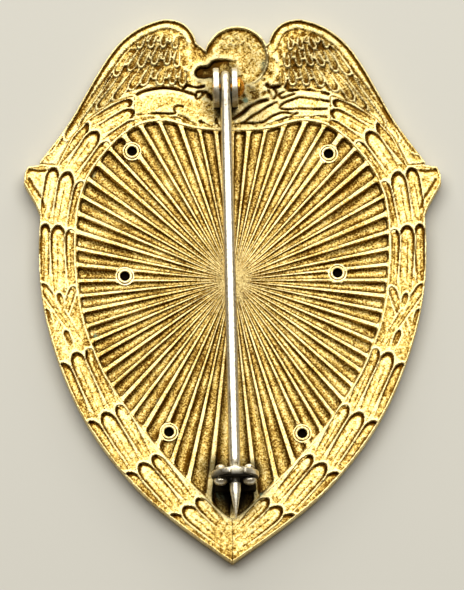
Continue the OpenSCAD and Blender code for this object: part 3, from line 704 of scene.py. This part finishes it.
# The scroll and the leaves beside the hinge are drawn with engraved lines: half width, depth and path.
SCROLL_SPINE = (
    (-13.4, 25.9), (-10, 26.6), (-6.5, 26.2), (-3.6, 24.6), (0.4, 23.6), (3.6, 24.6), (6.8, 26.2),
    (10, 26.4), (13.4, 25.6))
SCROLL_LINES = (
    (0.17, 0.42, ((-12.9, 27.4), (-12, 27.9), (-10, 28.3), (-8.6, 28.3), (-7.4, 28.1), (-6.2, 27.75),
        (-5, 27.3))),
    (0.13, 0.24, ((-13, 24.55), (-10.5, 24.75), (-9, 24.7), (-7.8, 24.75), (-7.95, 25.4), (-7.5, 25.8),
        (-6.8, 25.7))),
    (0.14, 0.3, ((-7.4, 24.5), (-6.5, 24.1), (-5.5, 23.4), (-4.5, 22.8), (-4.3, 23.3))),
    (0.15, 0.34, ((-4.4, 23.7), (-3.8, 23.2), (-3.2, 22.85), (-2.6, 22.8), (-2.1, 23.1), (-2.2, 23.9))),
    (0.15, 0.36, ((-6.7, 28.2), (-6.2, 28.7), (-5.4, 28.5), (-4.6, 28.4), (-3.9, 28.6))),
    (0.14, 0.34, ((-5, 27.2), (-4.8, 27.7), (-4.3, 27.9), (-4, 27.5), (-4.3, 27), (-4.8, 26.8),
        (-5, 27.2))),
    (0.14, 0.34, ((-3.7, 27.8), (-3, 27.2), (-2.5, 26.3))),
    (0.18, 0.44, ((4.7, 28.8), (5, 28.5), (6, 28.5), (6.9, 28.7), (7.7, 28.1), (10, 28.1), (11.5, 27.9),
        (13, 27.5))),
    (0.14, 0.3, ((8.1, 27.9), (7.3, 27.85), (6.5, 27.5), (6.3, 27.2), (6.8, 26.9), (7.6, 27.2),
        (8.4, 27.5))),
    (0.13, 0.26, ((8, 26.6), (9, 26.95), (10, 26.9), (11.5, 26.7), (13.2, 26.4))),
    (0.13, 0.28, ((8, 26.6), (7, 26.2), (6.4, 25.5), (7.5, 25.3), (9, 25.4), (11, 25.35), (12.8, 25.35))),
    (0.13, 0.28, ((8.8, 24.8), (7.9, 24.3), (8.4, 24.05), (9.5, 24), (10.5, 24.1), (11.8, 24.3),
        (12.8, 24.2))),
    (0.19, 0.44, ((0.1, 24), (1.2, 24.7), (2.4, 25.7), (3.6, 26.3), (4.8, 26.7))),
    (0.13, 0.26, ((1.5, 23.4), (2.6, 24.3), (3.6, 24.9), (4.6, 25.6), (5.4, 26), (6, 26.3))),
    (0.14, 0.3, ((0.2, 23.1), (1.5, 23.4), (3, 23.3), (4.2, 23.5), (5.2, 24.2), (6, 24.6), (7, 24.9),
        (8, 24.7))),
    (0.13, 0.26, ((4.2, 22.9), (5.2, 23.2), (6.2, 23.7), (7.4, 24.1))),
    (0.14, 0.3, ((5.6, 28.3), (6, 27.5), (5.6, 26.8), (5.2, 27.3), (4.9, 28))))


def crest_zone(x, y):
    """The region of the crest, as a distance inside it."""
    return np.minimum.reduce([shield_distance(x, y), inside_distance(x, y, CREST_ZONE), field_gap(x, y)])


def covering_feathers():
    """A shorter, narrower feather over each gap between two neighbours of a row."""
    covers = []
    for one, two in zip(FEATHERS, FEATHERS[1:]):
        if abs(one[0][0] - two[0][0]) < ROW_BREAK:
            ends = []
            for near, far in ((0, 1), (1, 0)):
                x = 0.35 * (one[near][0] + two[near][0]) + 0.15 * (one[far][0] + two[far][0])
                y = 0.35 * (one[near][1] + two[near][1]) + 0.15 * (one[far][1] + two[far][1]) + 0.3
                ends.append((x, y))
            covers.append((*ends, 0.8 * one[2]))
    return covers


def crest_relief(x, y, gap):
    """Depths of the wings, head, beak and scroll."""
    outer = shield_distance(x, y)
    inner = field_gap(x, y)
    rough = 0.05 * speckle(x, y, 0.45, 11) + 0.045 * speckle(x, y * 0.6, 0.8, 12)
    depth = 0.24 + 0.05 * speckle(x, y, 1.9, 13) + rough
    shuffle = random.Random(5)
    for side in (-1, 1):
        for root, tip, width in covering_feathers() + list(FEATHERS):
            dx, dy = (shuffle.uniform(-0.18, 0.18) for _ in (0, 1))
            start, stop = (root[0] * -side + dx, root[1] + dy), (tip[0] * -side + dx, tip[1] + dy)
            depth = trough(depth, x, y, stop, start, width * shuffle.uniform(0.85, 1.1), deep=0.36,
                shallow=0.25, fall=0.16, lip=0.08, bow=shuffle.uniform(-0.2, 0.2), under=0.24, tail=0.9)
    depth = depth + rough * 0.6
    # Near the shoulders the feathers run out into a flat edge.
    shoulder = 1 - smoothstep(y, 20.5, 24)
    depth = depth * (1 - 0.6 * shoulder)
    # The leading edge of each wing is a smooth channel behind a thin rim.
    wings = smoothstep(np.abs(x - HEAD_CENTRE[0]), 4.4, 5.2) * smoothstep(y, 18.5, 22)
    broad = 0.55 + 0.75 * smoothstep(y, 24, 32)
    lines = 0.16 * np.exp(-((outer - 0.42) / 0.13) ** 2) + 0.14 * np.exp(-((outer - broad - 0.1) / 0.16) ** 2)
    channel = wings * (1 - smoothstep(outer, broad + 0.15, broad + 0.35)) * smoothstep(y, 21, 25)
    depth = depth * (1 - channel) + (0.12 + lines + rough * 0.7) * channel
    # The head is a shallow bowl with a hammered floor.
    bowl = HEAD_RADIUS - np.hypot(x - HEAD_CENTRE[0], y - HEAD_CENTRE[1])
    head = smoothstep(bowl, 0.05, 0.2) * smoothstep(y, 28.3, 29.4)
    hammered = 0.04 * speckle(x, y, 0.3, 21) + 0.02 * speckle(x, y, 0.7, 22)
    floor = 0.3 + 0.35 * smoothstep(bowl, 0.2, 3.4) + hammered
    depth = depth * (1 - head) + smoothstep(bowl, 0.15, 0.55) * floor * head
    # The neck runs from the head into the left wing.
    neck = smoothstep(-x, 1.2, 2.6) * (1 - smoothstep(-x, 6.0, 8.5))
    neck = neck * smoothstep(y, 30.6, 32) * (1 - smoothstep(y, 33.6, 35))
    depth = depth * (1 - neck) + (0.3 + rough) * neck
    beak = inside_distance(x, y, smooth_path(BEAK_POINTS, 4))
    hollow = smoothstep(beak, -0.05, 0.3)
    cavern = 1.12 - 0.3 * smoothstep(-y, -31.4, -29.6) - 0.5 * smoothstep(x, -2.0, 1.2) + rough
    depth = depth * (1 - hollow) + cavern * hollow
    # Below the wings a smooth scroll runs to the hinge from the left and long leaves from the right.
    smooth = (1 - smoothstep(line_distance(x, y, SCROLL_SPINE), 1.9, 2.3)) * (1 - smoothstep(y, 28.2, 28.5))
    rubbed = 0.1 + 0.03 * speckle(x, y, 0.3, 31) + 0.03 * speckle(x, y, 1.5, 32)
    depth = depth * (1 - smooth) + rubbed * smooth
    for width, cut, path in SCROLL_LINES:
        worn = 0.75 + 0.5 * speckle(x, y, 1.1, 33)
        depth = depth + worn * cut * np.exp(-(line_distance(x, y, smooth_path(path, 3)) / width) ** 2)
    # The solder under the hinge filled the hollows up.
    solder = inside_distance(x, y, [(-2.7, 25.3), (0.8, 25.3), (0.8, 29.7), (-2.7, 29.7)])
    filled = smoothstep(solder, -0.2, 0.1)
    depth = depth * (1 - filled) + 0.04 * filled
    # A line parts crest and border outside the scroll, and a bead runs along the field's edge.
    seam = 1 - smoothstep(inside_distance(x, y, CREST_ZONE), 0.0, 0.3)
    depth = np.where((inner > 1) & (np.abs(x) > 13.6), np.maximum(depth, 0.3 * seam), depth)
    bead = 1 - smoothstep(inner, 0.3, 0.6)
    depth = depth * (1 - bead) + 0.02 * bead
    lip = 1 - smoothstep(outer, 0.12, 0.26)
    return depth * (1 - lip)


crest = struck_piece("eagle_crest", (-28.7, 17.2), (28.7, 38.2), crest_zone, crest_relief, front_share=0.6,
    shade_and_wear_depth=0.13)
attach(crest, "badge")
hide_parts("badge_plate")

# ---- Front ribbons --------------------------------------------------------------------------------
# Three plain banners stamped from thicker brass, one over each pair of rivets. Each has a thin raised
# edge round a sunk, finely matted panel, and the badge lies on them.

PANEL_EDGE = 0.4
PANEL_SINK = 0.12


def worked_copy(node, name, bevel, segments=2, sharp=35, shrink=(1.0, 1.0)):
    """A merged copy of a CAD node, made smaller about its middle, with its sharp edges beveled."""
    shape = bmesh.new()
    shape.from_mesh(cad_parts[node].data)
    bmesh.ops.remove_doubles(shape, verts=shape.verts, dist=0.002 * MM)
    bmesh.ops.dissolve_limit(shape, angle_limit=math.radians(0.6), verts=shape.verts, edges=shape.edges)
    if node.startswith("ribbon"):
        face = min(shape.faces, key=lambda f: f.normal.z * f.calc_area())
        bmesh.ops.inset_region(shape, faces=[face], thickness=PANEL_EDGE * MM, use_even_offset=True)
        bmesh.ops.inset_region(shape, faces=[face], thickness=0.1 * MM, use_even_offset=True)
        bmesh.ops.translate(shape, verts=face.verts, vec=(0, 0, PANEL_SINK * MM))
    middle = sum((v.co for v in shape.verts), Vector()) / len(shape.verts)
    for v in shape.verts:
        v.co.x, v.co.y = (middle[k] + (v.co[k] - middle[k]) * shrink[k] for k in (0, 1))
    return eased(shape, name, bevel, segments, sharp)


def eased(shape, name, bevel, segments=2, sharp=35):
    """A mesh object from a closed shape with its sharp edges beveled."""
    edges = [e for e in shape.edges if len(e.link_faces) == 2 and e.calc_face_angle() > math.radians(sharp)]
    bmesh.ops.bevel(shape, geom=edges, offset=bevel * MM, segments=segments, profile=0.5, affect="EDGES",
                    clamp_overlap=True)
    bmesh.ops.recalc_face_normals(shape, faces=shape.faces)
    mesh = bpy.data.meshes.new(name)
    shape.to_mesh(mesh)
    shape.free()
    mesh.shade_smooth()
    mesh.set_sharp_from_angle(angle=math.radians(32))
    made = bpy.data.objects.new(name, mesh)
    bpy.context.scene.collection.objects.link(made)
    return made


# Gilt brass of the front, which is handled and polished: warmer, smoother and less pitted.
ribbon_brass = bpy.data.materials.new("polished_gilt_brass")
aged_metal(ribbon_brass, light="#F0CF7A", middle="#D0A548", dark="#8A6220", roughness=0.28, grain=0.35,
    pits=0.68, bump_depth=0.012)
for row in ("top", "middle", "bottom"):
    ribbon = worked_copy("ribbon_" + row, "front_ribbon_" + row, bevel=0.07)
    ribbon.data.materials.append(ribbon_brass)
    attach(ribbon, "badge")
    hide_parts("ribbon_" + row)

# ---- Hollow rivets ---------------------------------------------------------------------------------
# Six short tubes soldered to the ribbons. Each comes through the plate and its end is rolled over into
# a bright ring that sits in the milled seat.

RIVET_SIZES = {"Shank Radius": 0.86 * MM, "Bore Radius": 0.65 * MM, "Lip Radius": 1.0 * MM,
    "Lip Height": 0.2 * MM, "Flange Radius": 1.38 * MM, "Flange Height": 0.14 * MM,
    "Seat Height": SEAT_Z * MM, "Front Height": FRONT_Z * MM, "Seed": 3}
rolling, rivet_ids = geometry_tree("set_hollow_rivets", RIVET_SIZES)
# Rolled tube ends wear bright, and their pale colour also holds a painted sheen; the gilding is thinner than
# on the plate.
rivet_brass_with_sheen = bpy.data.materials.new("worn_rivet_brass_with_sheen")
aged_metal(rivet_brass_with_sheen, light="#FFF6D2", middle="#F0D890", dark="#A8843C", roughness=0.45, grain=0.3,
    pits=0.7, bump_depth=0.015)
sizes = add(rolling, "NodeGroupInput").outputs
wall_width = add(rolling, "ShaderNodeMath", {0: sizes["Shank Radius"], 1: sizes["Bore Radius"]},
    operation="SUBTRACT")
wall_middle = add(rolling, "ShaderNodeMath", {0: wall_width, 1: 0.5, 2: sizes["Bore Radius"]},
    operation="MULTIPLY_ADD")
tube_height = add(rolling, "ShaderNodeMath", {0: sizes["Seat Height"], 1: sizes["Front Height"]},
    operation="SUBTRACT")
tube_middle = add(rolling, "ShaderNodeMath", {0: tube_height, 1: 0.5, 2: sizes["Front Height"]},
    operation="MULTIPLY_ADD")
tube_line = add(rolling, "GeometryNodeCurvePrimitiveCircle", {"Resolution": 48, "Radius": wall_middle})
tube_section = add(rolling, "GeometryNodeCurvePrimitiveQuadrilateral",
    {"Width": tube_height, "Height": wall_width})
tube = add(rolling, "GeometryNodeCurveToMesh", {"Curve": tube_line, "Profile Curve": tube_section})
tube_place = add(rolling, "ShaderNodeCombineXYZ", {"Z": tube_middle})
tube = add(rolling, "GeometryNodeTransform", {"Geometry": tube, "Translation": tube_place})
# The ribbon closes the bore, and the bore is painted black as painted shade.
plug = add(rolling, "GeometryNodeMeshCylinder", {"Vertices": 48, "Radius": wall_middle, "Depth": 0.3 * MM})
plug_top = add(rolling, "ShaderNodeMath", {0: sizes["Front Height"], 1: 0.16 * MM}, operation="ADD")
plug_place = add(rolling, "ShaderNodeCombineXYZ", {"Z": plug_top})
plug = add(rolling, "GeometryNodeTransform", {"Geometry": plug, "Translation": plug_place})
bore = add(rolling, "GeometryNodeJoinGeometry", {0: [tube, plug]})
bore = add(rolling, "GeometryNodeStoreNamedAttribute", {"Geometry": bore, "Name": "smoke", "Value": 1.0},
    data_type="FLOAT", domain="POINT")
lip_width = add(rolling, "ShaderNodeMath", {0: sizes["Lip Radius"], 1: sizes["Bore Radius"]},
    operation="SUBTRACT")
lip_half = add(rolling, "ShaderNodeMath", {0: lip_width, 1: 0.5}, operation="MULTIPLY")
lip_middle = add(rolling, "ShaderNodeMath", {0: lip_half, 1: sizes["Bore Radius"]}, operation="ADD")
lip_line = add(rolling, "GeometryNodeCurvePrimitiveCircle", {"Resolution": 48, "Radius": lip_middle})
lip_section = add(rolling, "GeometryNodeCurvePrimitiveCircle", {"Resolution": 16, "Radius": lip_half})
lip = add(rolling, "GeometryNodeCurveToMesh", {"Curve": lip_line, "Profile Curve": lip_section})
flatten = add(rolling, "ShaderNodeMath", {0: sizes["Lip Height"], 1: lip_width}, operation="DIVIDE")
lip_scale = add(rolling, "ShaderNodeCombineXYZ", {"X": 1.0, "Y": 1.0, "Z": flatten})
lip_top = add(rolling, "ShaderNodeMath", {0: sizes["Lip Height"], 1: 0.5, 2: sizes["Seat Height"]},
    operation="MULTIPLY_ADD")
lip_place = add(rolling, "ShaderNodeCombineXYZ", {"Z": lip_top})
lip = add(rolling, "GeometryNodeTransform", {"Geometry": lip, "Translation": lip_place, "Scale": lip_scale})
# Outside the rolled lip a flat flange lies on the seat.
flange_width = add(rolling, "ShaderNodeMath", {0: sizes["Flange Radius"], 1: sizes["Lip Radius"]},
    operation="SUBTRACT")
flange_half = add(rolling, "ShaderNodeMath", {0: flange_width, 1: 0.5}, operation="MULTIPLY")
flange_middle = add(rolling, "ShaderNodeMath", {0: flange_half, 1: sizes["Lip Radius"]}, operation="ADD")
flange_line = add(rolling, "GeometryNodeCurvePrimitiveCircle", {"Resolution": 48, "Radius": flange_middle})
flange_span = add(rolling, "ShaderNodeMath", {0: flange_width, 1: 0.86}, operation="MULTIPLY")
flange_section = add(rolling, "GeometryNodeCurvePrimitiveQuadrilateral",
    {"Width": sizes["Flange Height"], "Height": flange_span})
flange = add(rolling, "GeometryNodeCurveToMesh", {"Curve": flange_line, "Profile Curve": flange_section})
flange_place = add(rolling, "ShaderNodeCombineXYZ", {"Z": sizes["Seat Height"]})
flange = add(rolling, "GeometryNodeTransform", {"Geometry": flange, "Translation": flange_place})
rivet = add(rolling, "GeometryNodeJoinGeometry", {0: [flange, bore, lip]})
spin = add(rolling, "FunctionNodeRandomValue", {2: 0.0, 3: 2 * math.pi, "Seed": sizes["Seed"]},
    data_type="FLOAT")
spin = add(rolling, "ShaderNodeCombineXYZ", {"Z": spin.outputs[1]})
placed = add(rolling, "GeometryNodeInstanceOnPoints", {"Points": sizes["Geometry"], "Instance": rivet,
    "Rotation": spin})
whole = add(rolling, "GeometryNodeRealizeInstances", {"Geometry": placed})
finished = add(rolling, "GeometryNodeSetMaterial", {"Geometry": whole, "Material": rivet_brass_with_sheen})
add(rolling, "NodeGroupOutput", {"Geometry": finished})
rivet_points = mesh_object("rivet_points", [(x, y, 0) for x, y in RIVET_PLACES], [])
rivets = run_tree(rivet_points, rolling, rivet_ids, RIVET_SIZES, "hollow_rivets", smooth_angle=40)
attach(rivets, "badge")
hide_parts(*(f"rivet_{row}_{side}" for row in ("top", "middle", "bottom")
                      for side in ("left", "right")))

# ---- Hinge bracket -----------------------------------------------------------------------------------
# One strip of nickel silver bent into a U with round ears, soldered on a thin pad over the plate. The
# ears are painted darker towards their foot as painted shade, so their tops stay bright.

# Nickel silver, rolled and once polished: a warm white metal, now yellowed, with fine scratches.
nickel_silver = bpy.data.materials.new("nickel_silver")
aged_metal(nickel_silver, light="#FFFCF2", middle="#F3ECD6", dark="#B09C62", roughness=0.36, grain=0.35,
    pits=0.7, bump_depth=0.012)
# The pads are flooded with solder that has gone dark and lumpy.
dull_solder = bpy.data.materials.new("tarnished_solder")
aged_metal(dull_solder, light="#B9A878", middle="#83714A", dark="#3C3220", roughness=0.5, grain=0.3,
    pits=0.6, bump_depth=0.04)
hinge_pad = worked_copy("hinge_patch", "hinge_pad", bevel=0.16, segments=3, shrink=(0.9, 0.86))
# Painted shade: the pad between the ears is darkened all over, on top of the dark solder.
mark(hinge_pad, "smoke", lambda x, y, z: np.full(len(x), 0.85))
hinge_pad.data.materials.append(dull_solder)
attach(hinge_pad, "badge")
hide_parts("hinge_patch")

hinge = worked_copy("hinge_bracket", "hinge_ears", bevel=0.14, segments=3)
# Painted shade: the ears darken towards their foot.
mark(hinge, "smoke", lambda x, y, z: 0.75 * (1 - smoothstep(z, 3.6, 7.4)) ** 2)
hinge.data.materials.append(nickel_silver)
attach(hinge, "badge")
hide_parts("hinge_bracket")

# ---- Hinge rivet --------------------------------------------------------------------------------------
# A brass wire peened flat on the left, with a low domed head on the right that kept its red gilding.

# Red gilding that hands and cloth never reached, so it is warm, smooth and bright.
red_gilt = bpy.data.materials.new("red_gilt_brass")
aged_metal(red_gilt, light="#F0B54A", middle="#D08A26", dark="#8A5412", roughness=0.26, grain=0.4,
    pits=0.72, bump_depth=0.01)
hinge_rivet = worked_copy("hinge_rivet", "hinge_rivet_dome", bevel=0.05)
hinge_rivet.data.materials.append(red_gilt)
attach(hinge_rivet, "badge")
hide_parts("hinge_rivet")

# ---- Pin ------------------------------------------------------------------------------------------------
# Nickel silver wire: flattened and drilled for the hinge, drawn down to a neck in the catch and turned to
# a long point. It is worn bright where cloth and fingers rub it.

HINGE_PLACE = (-0.95, 27.5, 5.85)
PIN_LEAN = math.radians(1.375)
CATCH_DISTANCE = 54.1
PIN_SIDES = 32
DRILL_RADIUS = 0.6
DRILL_SIDES = 48
# Distance from the hinge, half width, height above and below the axis, and squareness of the section.
PIN_STATIONS = (
    (-2.3, 0.1, 0.1, -0.1, 2), (-2.22, 0.34, 0.5, -0.5, 2.4), (-2.0, 0.5, 1.1, -1.1, 2.8),
    (-1.6, 0.62, 1.62, -1.62, 3), (-1.0, 0.68, 2.05, -2.05, 3), (0, 0.7, 2.28, -2.28, 3),
    (1.0, 0.7, 2.19, -2.0, 3), (2.2, 0.71, 2.0, -1.4, 3), (3.5, 0.72, 1.76, -1.0, 2.9),
    (5, 0.74, 1.5, -0.8, 2.7), (7, 0.765, 1.22, -0.775, 2.5), (9.5, 0.775, 0.98, -0.775, 2.4),
    (12.5, 0.775, 0.83, -0.775, 2.3), (16, 0.775, 0.775, -0.775, 2.2), (35, 0.775, 0.775, -0.775, 2.2),
    (51.6, 0.775, 0.775, -0.775, 2.1), (52.95, 0.72, 0.72, -0.72, 2), (53.25, 0.5, 0.5, -0.5, 2),
    (55.1, 0.5, 0.5, -0.5, 2), (55.25, 0.74, 0.74, -0.74, 2), (55.45, 0.76, 0.76, -0.76, 2),
    (55.7, 0.71, 0.71, -0.71, 2), (56.2, 0.74, 0.74, -0.74, 2), (57.5, 0.52, 0.52, -0.52, 2),
    (58.8, 0.295, 0.295, -0.295, 2), (59.7, 0.12, 0.12, -0.12, 2), (60.15, 0.03, 0.03, -0.03, 2))


def from_pin(x, y, z):
    """A place in the pin's own frame, where the pin runs down -Y from the hinge, in the badge's frame."""
    cos, sin = math.cos(PIN_LEAN), math.sin(PIN_LEAN)
    return (HINGE_PLACE[0] + x * cos - y * sin, HINGE_PLACE[1] + x * sin + y * cos, HINGE_PLACE[2] + z)


def rounded(value, squareness):
    """Bends a cosine or sine so that an ellipse becomes squarer; 2 leaves it round."""
    return math.copysign(abs(value) ** (2 / squareness), value)


points = []
for distance, wide, top, bottom, squareness in PIN_STATIONS:
    for k in range(PIN_SIDES):
        turn = 2 * math.pi * k / PIN_SIDES
        middle, reach = (top + bottom) / 2, (top - bottom) / 2
        points.append(from_pin(wide * rounded(math.cos(turn), squareness), -distance,
                               middle + reach * rounded(math.sin(turn), squareness)))
faces = ring_faces(len(PIN_STATIONS), PIN_SIDES, flip=True)
faces += [tuple(range(PIN_SIDES - 1, -1, -1)), tuple(range(len(points) - PIN_SIDES, len(points)))]
pin = mesh_object("pin_blank", points, faces)
turns = [2 * math.pi * k / DRILL_SIDES for k in range(DRILL_SIDES)]
points = [from_pin(x, DRILL_RADIUS * math.cos(turn), DRILL_RADIUS * math.sin(turn))
          for x in (-3, 3) for turn in turns]
faces = [tuple(range(DRILL_SIDES - 1, -1, -1)), tuple(range(DRILL_SIDES, 2 * DRILL_SIDES))]
faces += ring_faces(2, DRILL_SIDES, flip=True)
pin = drilled(pin, mesh_object("hinge_drill", points, faces), "pin_wire", smooth_angle=40)
# Painted shade: the neck that lies in the catch barrel is darkened.
mark(pin, "smoke", lambda x, y, z: 0.7 * (1 - smoothstep(y, -26.5, -25.6)) * smoothstep(y, -28.0, -27.5))
pin.data.materials.append(nickel_silver)
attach(pin, "pin")
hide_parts("pin_stem")

# ---- Safety catch ---------------------------------------------------------------------------------------
# An open ring of nickel silver strip on a pad, with a slotted barrel inside it. Two pairs of round lobes,
# in front of the ring and behind it, turn the barrel over the pin.

CATCH_PLACE = (0.35, -26.58)
LOBE_X = 1.95
SLOT_HALF = 0.65        # half the width of the slot that the pin drops into
BORE_RADIUS = 0.68
ARC_STEPS = 48

catch_pad = worked_copy("catch_patch", "catch_pad", bevel=0.14, segments=3, shrink=(0.88, 0.8))
# Painted shade: the pad under the catch is darkened almost to black, on top of the dark solder.
mark(catch_pad, "smoke", lambda x, y, z: np.full(len(x), 0.92))
catch_pad.data.materials.append(dull_solder)
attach(catch_pad, "badge")
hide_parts("catch_patch")

catch_ring = worked_copy("catch_ring", "catch_ring_band", bevel=0.1, segments=3)
# Painted shade: the band darkens towards the pad, and its front face, turned away from the light, is dark.
mark(catch_ring, "smoke", lambda x, y, z: np.maximum(0.85 * (1 - smoothstep(z, 3.4, 5.2)),
    0.6 * (y < CATCH_PLACE[1] - 0.3)))
catch_ring.data.materials.append(nickel_silver)
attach(catch_ring, "badge")
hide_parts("catch_ring")


def rotor_shape(radius, start, stop, lobe_middle, lobe_radii):
    """A slotted barrel about the pin between two distances, with a round finger lobe on either side."""
    shape = bmesh.new()
    section = []
    for r in (radius, BORE_RADIUS):
        first = math.asin(SLOT_HALF / r)
        sweep = 2 * math.pi - 2 * first
        arc = [-math.pi / 2 + first + sweep * k / ARC_STEPS for k in range(ARC_STEPS + 1)]
        section.append([(r * math.cos(a), r * math.sin(a)) for a in arc])
    rows = [[shape.verts.new(Vector(from_pin(x, -CATCH_DISTANCE + y, z)) * MM) for x, z in line]
            for y in (start, stop) for line in section]
    for k in range(ARC_STEPS):
        for one, two in ((0, 1), (1, 3), (3, 2), (2, 0)):
            shape.faces.new((rows[one][k], rows[one][k + 1], rows[two][k + 1], rows[two][k]))
    for k in (0, ARC_STEPS):
        shape.faces.new([rows[n][k] for n in (0, 1, 3, 2)])
    for side in (-1, 1):
        lobe = bmesh.ops.create_uvsphere(shape, u_segments=32, v_segments=20, radius=1.0)["verts"]
        for v in lobe:
            v.co = Vector(from_pin(side * LOBE_X + v.co.x * lobe_radii[0],
                -CATCH_DISTANCE + lobe_middle + v.co.y * lobe_radii[1], v.co.z * lobe_radii[2])) * MM
    return shape


def rotor_painted_shade(x, y, z):
    """Painted shade: the barrel's front is black and the undersides of the lobes are brown."""
    across, along = x - CATCH_PLACE[0], y - CATCH_PLACE[1]
    lobe = (np.hypot(np.abs(across) - LOBE_X, z - HINGE_PLACE[2]) < 1.0) & (np.abs(along) > 0.51)
    under = 0.55 * (1 - smoothstep(z - HINGE_PLACE[2] + 0.4 * (np.abs(along) - 0.95), -0.1, 0.5))
    return np.where(lobe, under, np.where(along < -0.4, 0.95, 0.02))


for node, name, spec in (("catch_rotor", "catch_barrel", (2.46, -0.49, 0.49, -0.8, (0.95, 0.66, 0.98))),
                         ("rotor_collar", "rear_lobes", (1.58, 0.5, 0.88, 1.02, (0.7, 0.44, 0.8)))):
    rotor = eased(rotor_shape(*spec), name, bevel=0.1, segments=3)
    mark(rotor, "smoke", rotor_painted_shade)
    rotor.data.materials.append(nickel_silver)
    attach(rotor, "rotor")
    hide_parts(node)

# ---- Studio -----------------------------------------------------------------------------------------
# A plain pale table under a large overhead softbox, with a second one beyond the crest.

TARGET = Vector((-0.07, -0.70, 2.55)) * MM
CAMERA_DISTANCE = 3.0
CAMERA_ELEVATION = math.radians(75.95)
LENS = 1350.0

table = mesh_object("table", [(-900, -900, 0), (900, -900, 0), (900, 900, 0), (-900, 900, 0)],
    [(0, 1, 2, 3)])
tabletop = bpy.data.materials.new("pale_matt_card")
tabletop.use_nodes = True
shader = tabletop.node_tree.nodes["Principled BSDF"]
shader.inputs["Base Color"].default_value = colour("#CBCAC3")
shader.inputs["Roughness"].default_value = 0.9
table.data.materials.append(tabletop)
table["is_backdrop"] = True

for name, place, size, power, tone in (("overhead_softbox", (0.0, 0.30, 0.75), (1.2, 0.62), 8.8, "#FFFEFA"),
                                       ("rear_softbox", (0.0, 0.85, 0.28), (1.2, 0.35), 5.4, "#FFFCF2")):
    lamp = bpy.data.lights.new(name, "AREA")
    lamp.shape, lamp.size, lamp.size_y = "RECTANGLE", size[0], size[1]
    lamp.energy = power
    lamp.color = colour(tone)[:3]
    holder = bpy.data.objects.new(name, lamp)
    holder.location = place
    holder.rotation_euler = (TARGET - Vector(place)).to_track_quat("-Z", "Y").to_euler()
    bpy.context.scene.collection.objects.link(holder)

world = bpy.data.worlds.new("dim_room")
bpy.context.scene.world = world
world.use_nodes = True
world.node_tree.nodes["Background"].inputs["Color"].default_value = colour("#DCC49C")
world.node_tree.nodes["Background"].inputs["Strength"].default_value = 0.16
bpy.context.scene.view_settings.view_transform = "Standard"

camera = bpy.data.objects.new("camera", bpy.data.cameras.new("camera"))
camera.data.lens = LENS
camera.data.clip_start, camera.data.clip_end = 0.01, 10
from_target = Vector((0, -math.cos(CAMERA_ELEVATION), math.sin(CAMERA_ELEVATION)))
camera.location = TARGET + CAMERA_DISTANCE * from_target
camera.rotation_euler = (TARGET - camera.location).to_track_quat("-Z", "Y").to_euler()
bpy.context.scene.collection.objects.link(camera)
bpy.context.scene.camera = camera

low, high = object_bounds()
